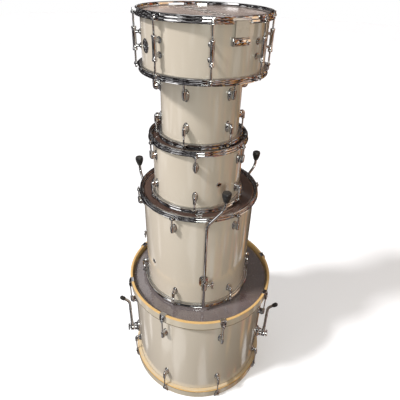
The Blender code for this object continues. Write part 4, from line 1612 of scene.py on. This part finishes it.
@dataclass
class Strainer:
    """The throw-off: cast body with its ears, the lever on its pin and the knurled tension knob."""

    drum: Drum
    finishes: Finishes
    angle: float
    pin_out: float = 0.0260
    pin_up: float = 0.0120
    low: float = -0.0360
    high: float = 0.0300

    def build(self) -> None:
        """Builds the strainer's pieces."""
        self.place = self.drum.beside(self.angle, self.drum.height / 2)
        self.build_body()
        self.build_lever()
        self.build_knob()

    def build_body(self) -> None:
        """The body with the sliding block, the strap clamp and two mounting screws."""
        r = self.drum.radius
        body = block((-0.0170, -r - 0.0195, self.low), (0.0170, -r + 0.0020, self.high), 0.0030, 4)
        cut(body, shell_tool(self.drum))
        for side in (-1, 1):
            groove = block((side * 0.0150 - 0.0008, -r - 0.0230, self.low + 0.006),
                           (side * 0.0150 + 0.0008, -r - 0.0186, self.high - 0.022))
            cut(body, groove)
        cut(body, bar((0, -r - 0.010, self.low - 0.01), (0, -r - 0.010, self.low + 0.014), 0.0037, 24))
        parts = [body]
        for side in (-1, 1):
            ear = plate([
                (side * 0.0130, -r - 0.0170, self.pin_up - 0.0085),
                (side * 0.0130, -r - self.pin_out, self.pin_up - 0.0052),
                (side * 0.0130, -r - self.pin_out - 0.0046, self.pin_up),
                (side * 0.0130, -r - self.pin_out, self.pin_up + 0.0052),
                (side * 0.0130, -r - 0.0170, self.pin_up + 0.0085)], (side * 0.0035, 0, 0), 0.0004, 0.0012)
            parts.append(ear)
        clamp = block((-0.0150, -r - 0.0178, self.high - 0.0010), (0.0150, -r - 0.0100, self.high + 0.0001),
                      0.0004)
        parts.append(clamp)
        for x in (-0.0090, 0.0090):
            head = bar((x, -r - 0.0190, self.high - 0.008), (x, -r - 0.0208, self.high - 0.008), 0.0030, 24,
                       soft=0.0004)
            cut(head, block((x - 0.0020, -r - 0.0230, self.high - 0.0084),
                            (x + 0.0020, -r - 0.0202, self.high - 0.0076)))
            parts.append(head)
        piece = dressed(joined(parts), self.finishes.chrome)
        for side in (-1, 1):
            cut(piece, bar((side * 0.011, -r - self.pin_out, self.pin_up),
                           (side * 0.03, -r - self.pin_out, self.pin_up), 0.0030, 24))
        moved(piece, self.place)
        fitted(piece, "strainer_cast_body", self.drum.body, ["strainer_body"])

    def build_lever(self) -> None:
        """The lever: tapered handle with a thumb lip, turning on a cross pin."""
        r = self.drum.radius
        y, z = -r - self.pin_out, self.pin_up
        handle = plate([
            (-0.0118, y + 0.0018, z + 0.0040), (-0.0118, y + 0.0018, z - 0.0180),
            (-0.0085, y + 0.0018, z - 0.0300), (-0.0095, y + 0.0018, z - 0.0478),
            (0.0095, y + 0.0018, z - 0.0478), (0.0085, y + 0.0018, z - 0.0300),
            (0.0118, y + 0.0018, z - 0.0180), (0.0118, y + 0.0018, z + 0.0040)],
            (0, -0.0036, 0), 0.0010, 0.0024)
        eye = bar((-0.0120, y, z), (0.0120, y, z), 0.0035, 28, soft=0.0004)
        lip = bar((-0.0080, y - 0.0012, z - 0.0455), (0.0080, y - 0.0012, z - 0.0455), 0.0022, 24,
                  soft=0.0008)
        pin = bar((-0.0165, y, z), (0.0165, y, z), 0.0026, 24, soft=0.0004)
        lever = dressed(joined([handle, eye, lip, pin]), self.finishes.chrome)
        moved(lever, self.place)
        fitted(lever, "strainer_throw_lever", "strainer_throw_lever", ["strainer_lever"])

    def build_knob(self) -> None:
        """The knurled knob that sets the wires' tension."""
        r = self.drum.radius
        grip = turned([(0, -0.0130), (0.0070, -0.0130), (0.0080, -0.0120), (0.0080, -0.0012), (0.0072, -GAP),
                       (0, -GAP)], 48)
        ridge = bar((0, -0.0079, -0.0116), (0, -0.0079, -0.0018), 0.00055, 8)
        ridges = copies(ridge, [Matrix.Rotation(math.tau * index / 30, 4, "Z") for index in range(30)])
        shank = bar((0, 0, -0.002), (0, 0, 0.012), 0.0030, 20)
        knob = dressed(joined([grip, ridges, shank]), self.finishes.chrome)
        moved(knob, self.place @ Matrix.Translation((0, -r - 0.010, self.low)))
        fitted(knob, "strainer_tension_knob", "strainer_tension_knob", ["strainer_knob"])


@dataclass
class Badge:
    """A plain enamelled badge with a chrome rim round the snare's vent."""

    drum: Drum
    finishes: Finishes
    radius: float = 0.0185

    def build(self) -> None:
        """Builds the badge, bent to the shell."""
        r = self.drum.radius
        disc = sleeve(0.0062, self.radius - 0.0015, 0.0, 0.0008, 64)
        dressed(disc, self.finishes.enamel)
        rim = turned([(self.radius - 0.0016, 0.0), (self.radius, 0.0), (self.radius, 0.0007),
                      (self.radius - 0.0005, 0.0013), (self.radius - 0.0016, 0.0010)], 64)
        ring = sleeve(self.radius * 0.66, self.radius * 0.70, 0.0006, 0.0011, 64)
        metal = dressed(joined([rim, ring]), self.finishes.chrome)
        badge = joined([disc, metal])
        for vertex in badge.data.vertices:
            x, y, z = vertex.co
            turn = x / r
            out = r + GAP + z
            vertex.co = (out * math.sin(turn), -out * math.cos(turn), y)
        edit(badge)
        bpy.ops.mesh.normals_make_consistent(inside=False)
        close_edit()
        moved(badge, self.drum.beside(self.drum.vent_angle, self.drum.vent_height))
        fitted(badge, "snare_badge", self.drum.body)


# -------------------- the whole kit


@dataclass
class Kit:
    """The five drums with all their hardware."""

    finishes: Finishes

    def build(self) -> None:
        """Builds the drums from the floor up."""
        self.build_bass()
        self.build_floor_tom()
        self.build_tom("tom_12", 12, -0.5, 0.060, 29.2, 0.0966, 150.0)
        self.build_tom("tom_10", 10, -17.8, 0.064, 132.2, 0.0966, -160.0)
        self.build_snare()

    def ply(self, drum: Drum) -> WoodFinish:
        """The inside veneer of a drum."""
        return WoodFinish(f"{drum.name}_ply", (0.36, 0.20, 0.10), 0.42, dark=(0.17, 0.085, 0.04),
                          centre=(drum.centre.x, drum.centre.y), coat=0.15)

    def film(self, drum: Drum, end: End, **settings: object) -> FilmFinish:
        """A head film centred on its drum."""
        values = {"colour": (0.17, 0.11, 0.09), "roughness": 0.035, "clear": 0.55, "gloss": 2.4,
                  "marked": 0.30}
        values.update(settings)
        return FilmFinish(f"{drum.node(end, 'film')}", centre=(drum.centre.x, drum.centre.y), **values)

    def build_bass(self) -> None:
        """The bass drum with its spurs."""
        drum = Drum("bass", "bass_drum", "batter", "front", 22 * INCH, 0.0190, 0.008, 8, 18.8, 0.117, 176.3,
                    0.2483)
        DrumShell(drum, self.finishes, self.ply(drum), -20.0).build()
        maple = WoodFinish("hoop_maple", (0.78, 0.56, 0.26), 0.26, dark=(0.60, 0.37, 0.13), coat=0.5,
                           ply=0.0016, ply_strength=0.35)
        smoky = {"colour": (0.20, 0.175, 0.18), "clear": 0.30, "gloss": 2.2, "marked": 0.35}
        BassHead(drum, self.finishes, End.TOP, self.film(drum, End.TOP, **smoky)).build()
        BassHead(drum, self.finishes, End.BOTTOM, self.film(drum, End.BOTTOM, **smoky)).build()
        for end in End:
            WoodenHoop(drum, self.finishes, end, maple).build()
            OvalLug(drum, self.finishes, end, 0.0100, 0.0210, 0.0265, 0.0211, 0.0060).build()
        for side, angle in (("left", -77.3), ("right", 77.3)):
            Spur(drum, self.finishes, side, angle).build()

    def build_floor_tom(self) -> None:
        """The floor tom with its three upturned legs."""
        drum = Drum("floor_tom", "floor_tom_drum", "top", "bottom", 16 * INCH, 0.0110, 0.007, 6, -21.3,
                    0.064, -51.2, 0.154)
        self.fit_out(drum, 165.0)
        FloorLeg(drum, self.finishes, 1, 8.7, 107.6, 0.886).build()
        FloorLeg(drum, self.finishes, 2, 128.7, 129.1, 0.844).build()
        FloorLeg(drum, self.finishes, 3, -111.3, -149.4, 0.823).build()

    def build_tom(self, name: str, inches: float, lug_angle: float, inset: float, vent_angle: float,
                  vent_height: float, seam: float) -> None:
        """A rack tom.

        Args:
            name: The drum's name in the frame.
            inches: Its shell's diameter in inches.
            lug_angle: The angle of its first lug.
            inset: How far its lugs are from its ends.
            vent_angle: The vent's angle.
            vent_height: The vent's height above the drum's foot.
            seam: The angle of the wrap's lap.
        """
        drum = Drum(name, f"{name}_drum", "top", "bottom", inches * INCH, 0.0110, 0.007, 6, lug_angle, inset,
                    vent_angle, vent_height)
        self.fit_out(drum, seam)

    def fit_out(self, drum: Drum, seam: float) -> None:
        """What the floor tom and the rack toms share: shell, heads, hoops, rods and lugs."""
        DrumShell(drum, self.finishes, self.ply(drum), seam).build()
        for end in End:
            DrumHead(drum, self.finishes, end, self.film(drum, end)).build()
            FlangedHoop(drum, self.finishes, end, -(drum.lug_inset - 0.0175) + 0.0003 - 0.0030).build()
            OvalLug(drum, self.finishes, end).build()

    def build_snare(self) -> None:
        """The upturned snare drum with its wires and throw-off."""
        drum = Drum("snare", "snare_drum", "side", "batter", 14 * INCH, 0.0110, 0.007, 8, 7.0, 0.081, -59.0,
                    0.075)
        butt = 30.5
        throw = butt + 180.0
        DrumShell(drum, self.finishes, self.ply(drum), 170.0).build()
        side_film = self.film(drum, End.TOP, colour=(0.62, 0.53, 0.49), clear=0.30, gloss=1.8, marked=0.9,
                              roughness=0.10)
        DrumHead(drum, self.finishes, End.TOP, side_film).build()
        coated = self.film(drum, End.BOTTOM, colour=(0.72, 0.71, 0.68), clear=0.05, gloss=1.4, marked=0.5,
                           roughness=0.45)
        DrumHead(drum, self.finishes, End.BOTTOM, coated).build()
        lugs = TubeLugs(drum, self.finishes)
        rod_low = -(drum.height - lugs.length) / 2 - 0.003
        FlangedHoop(drum, self.finishes, End.TOP, rod_low, gates=(butt, throw)).build()
        FlangedHoop(drum, self.finishes, End.BOTTOM, rod_low).build()
        lugs.build()
        wires = SnareWires(drum, self.finishes, butt)
        wires.build()
        wires.build_strap("butt_strap", butt, drum.height / 2 + 0.0333)
        wires.build_strap("strainer_strap", throw, drum.height / 2 + 0.0303)
        ButtPlate(drum, self.finishes, butt).build()
        Strainer(drum, self.finishes, throw).build()
        Badge(drum, self.finishes).build()


# -------------------- the studio


@dataclass
class Studio:
    """The floor, the light and the camera."""

    eye: tuple[float, float, float] = (0.0071, -1.1404, 1.5898)
    pitch: float = 33.313
    yaw: float = -0.881
    roll: float = 1.934
    lens: float = 32.414
    floor_glow: float = 0.25

    def build(self) -> None:
        """Builds the studio."""
        self.build_floor()
        self.build_world()
        self.build_lights()
        self.build_camera()

    def build_floor(self) -> None:
        """A wide pale floor with a faint, even texture, which the chrome doesn't mirror."""
        bpy.ops.object.select_all(action="DESELECT")
        bpy.ops.mesh.primitive_circle_add(vertices=96, radius=14, fill_type="NGON", location=(0, 0, -0.0004))
        floor = settle(bpy.context.object)
        floor.name = "studio_floor"
        floor.visible_glossy = False
        floor.visible_diffuse = False
        material = bpy.data.materials.new("studio_floor")
        material.use_nodes = True
        wire = Wiring(material.node_tree)
        shader = material.node_tree.nodes["Principled BSDF"]
        place = wire.add("ShaderNodeTexCoord").outputs["Object"]
        cloud = wire.span(wire.noise(place, 1.3, 3.0), 0.3, 0.7)
        wire.tree.links.new(wire.blend(cloud, (0.83, 0.87, 0.92, 1), (0.81, 0.85, 0.90, 1)),
                            shader.inputs["Base Color"])
        shader.inputs["Roughness"].default_value = 0.8
        shader.inputs["Emission Color"].default_value = (1, 1, 1, 1)
        shader.inputs["Emission Strength"].default_value = self.floor_glow
        floor.data.materials.append(material)

    def build_world(self) -> None:
        """White behind the drums, soft light that is warm and dim on the right, and a dark room to mirror."""
        world = bpy.data.worlds.new("studio")
        bpy.context.scene.world = world
        world.use_nodes = True
        tree = world.node_tree
        wire = Wiring(tree)
        shade = tree.nodes["Background"]
        way = wire.add("ShaderNodeTexCoord").outputs["Generated"]
        parts = wire.add("ShaderNodeSeparateXYZ", {0: way}).outputs
        across = wire.span(parts["X"], -0.7, 0.8)
        soft = wire.blend(across, (0.46, 0.435, 0.43, 1), (0.17, 0.125, 0.09, 1))
        height = wire.span(parts["Z"], -0.25, 0.70)
        low = wire.blend(across, (0.030, 0.026, 0.028, 1), (0.022, 0.012, 0.009, 1))
        room = wire.blend(height, low, (0.050, 0.046, 0.045, 1))
        panes = wire.span(wire.noise(wire.scaled(way, (2.6, 2.6, 5.0)), 1.6, 1.0), 0.57, 0.59)
        slats = wire.span(wire.maths("SINE", wire.maths("MULTIPLY", parts["X"], 70.0)), -0.5, -0.1, 0.15,
                          1.0)
        behind = wire.span(parts["Y"], 0.1, 0.3)
        cut_panes = wire.maths("MULTIPLY", panes, wire.maths("MAXIMUM", slats,
                                                             wire.maths("SUBTRACT", 1.0, behind)))
        room = wire.blend(cut_panes, room, (1.0, 0.98, 0.97, 1))
        stalls = wire.span(wire.noise(wire.scaled(way, (4.0, 4.0, 3.0), (3, 1, 2)), 2.2, 0.0), 0.57, 0.59)
        glowing = wire.maths("MULTIPLY", stalls, wire.span(parts["X"], 0.0, 0.5))
        hue = wire.span(wire.noise(wire.scaled(way, (5.0, 5.0, 5.0), (7, 2, 5)), 3.0, 0.0), 0.50, 0.54)
        room = wire.blend(glowing, room, wire.blend(hue, (0.90, 0.50, 0.14, 1), (0.55, 0.05, 0.04, 1)))
        rays = wire.add("ShaderNodeLightPath").outputs
        lit = wire.blend(rays["Is Glossy Ray"], soft, room)
        tree.links.new(wire.blend(rays["Is Camera Ray"], lit, (1, 1, 1, 1)), shade.inputs["Color"])
        shade.inputs["Strength"].default_value = 1.0

    def build_lights(self) -> None:
        """A broad sun from the left, with soft panels in front, above and, warm, on the right."""
        self.sun((-1.0, -0.45, 1.10), 3.0, 7.0)
        self.light("key", (-2.2, -1.6, 2.6), (1.2, 1.6), 14, (1.0, 0.98, 0.96))
        self.light("front", (0.3, -2.6, 1.5), (0.8, 0.6), 20, (0.97, 1.0, 0.93))
        self.light("top", (0.0, 0.6, 3.4), (1.6, 1.2), 12, (1.0, 0.99, 0.97))
        self.light("warm", (2.4, -0.4, 1.6), (1.4, 1.2), 7, (1.0, 0.70, 0.44))

    def sun(self, way: Point, power: float, spread: float) -> None:
        """Adds a distant light that polished faces don't mirror.

        Args:
            way: The direction that it shines from.
            power: Its power.
            spread: How wide it looks, in degrees.
        """
        lamp = bpy.data.lights.new("sun", "SUN")
        lamp.energy = power
        lamp.angle = math.radians(spread)
        lamp.color = (1.0, 0.945, 0.905)
        holder = bpy.data.objects.new("sun", lamp)
        bpy.context.scene.collection.objects.link(holder)
        holder.rotation_euler = Vector(way).to_track_quat("Z", "Y").to_euler()
        holder.visible_glossy = False

    def light(self, name: str, place: Point, size: tuple[float, float], power: float, colour: Point) -> None:
        """Adds a soft panel light that looks at the drums.

        Args:
            name: Its name.
            place: Where it hangs.
            size: Its width and height.
            power: Its power in watts.
            colour: Its colour.
        """
        lamp = bpy.data.lights.new(name, "AREA")
        lamp.shape = "RECTANGLE"
        lamp.size, lamp.size_y = size
        lamp.energy = power
        lamp.color = colour
        holder = bpy.data.objects.new(name, lamp)
        bpy.context.scene.collection.objects.link(holder)
        spot = Vector(place)
        holder.location = spot
        holder.rotation_euler = (Vector((0, 0, 0.65)) - spot).to_track_quat("-Z", "Y").to_euler()

    def build_camera(self) -> None:
        """The camera, at the height of a standing person's eyes and close to the drums."""
        pitch, yaw, roll = (math.radians(value) for value in (self.pitch, self.yaw, self.roll))
        forward = Vector((math.sin(yaw) * math.cos(pitch), math.cos(yaw) * math.cos(pitch),
                          -math.sin(pitch)))
        level = forward.cross(Vector((0, 0, 1))).normalized()
        upright = level.cross(forward)
        right = math.cos(roll) * level + math.sin(roll) * upright
        up = math.cos(roll) * upright - math.sin(roll) * level
        lens = bpy.data.cameras.new("camera")
        lens.sensor_width = 36.0
        lens.lens = self.lens
        lens.clip_start = 0.02
        holder = bpy.data.objects.new("camera", lens)
        bpy.context.scene.collection.objects.link(holder)
        turn = Matrix((right, up, -forward)).transposed().to_4x4()
        holder.matrix_world = Matrix.Translation(self.eye) @ turn
        bpy.context.scene.camera = holder


def main() -> None:
    logging.basicConfig(level=logging.INFO, format="%(message)s")
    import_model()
    bpy.context.scene.view_settings.view_transform = "Standard"
    Studio().build()
    Kit(Finishes()).build()


if __name__ == "__main__":
    main()
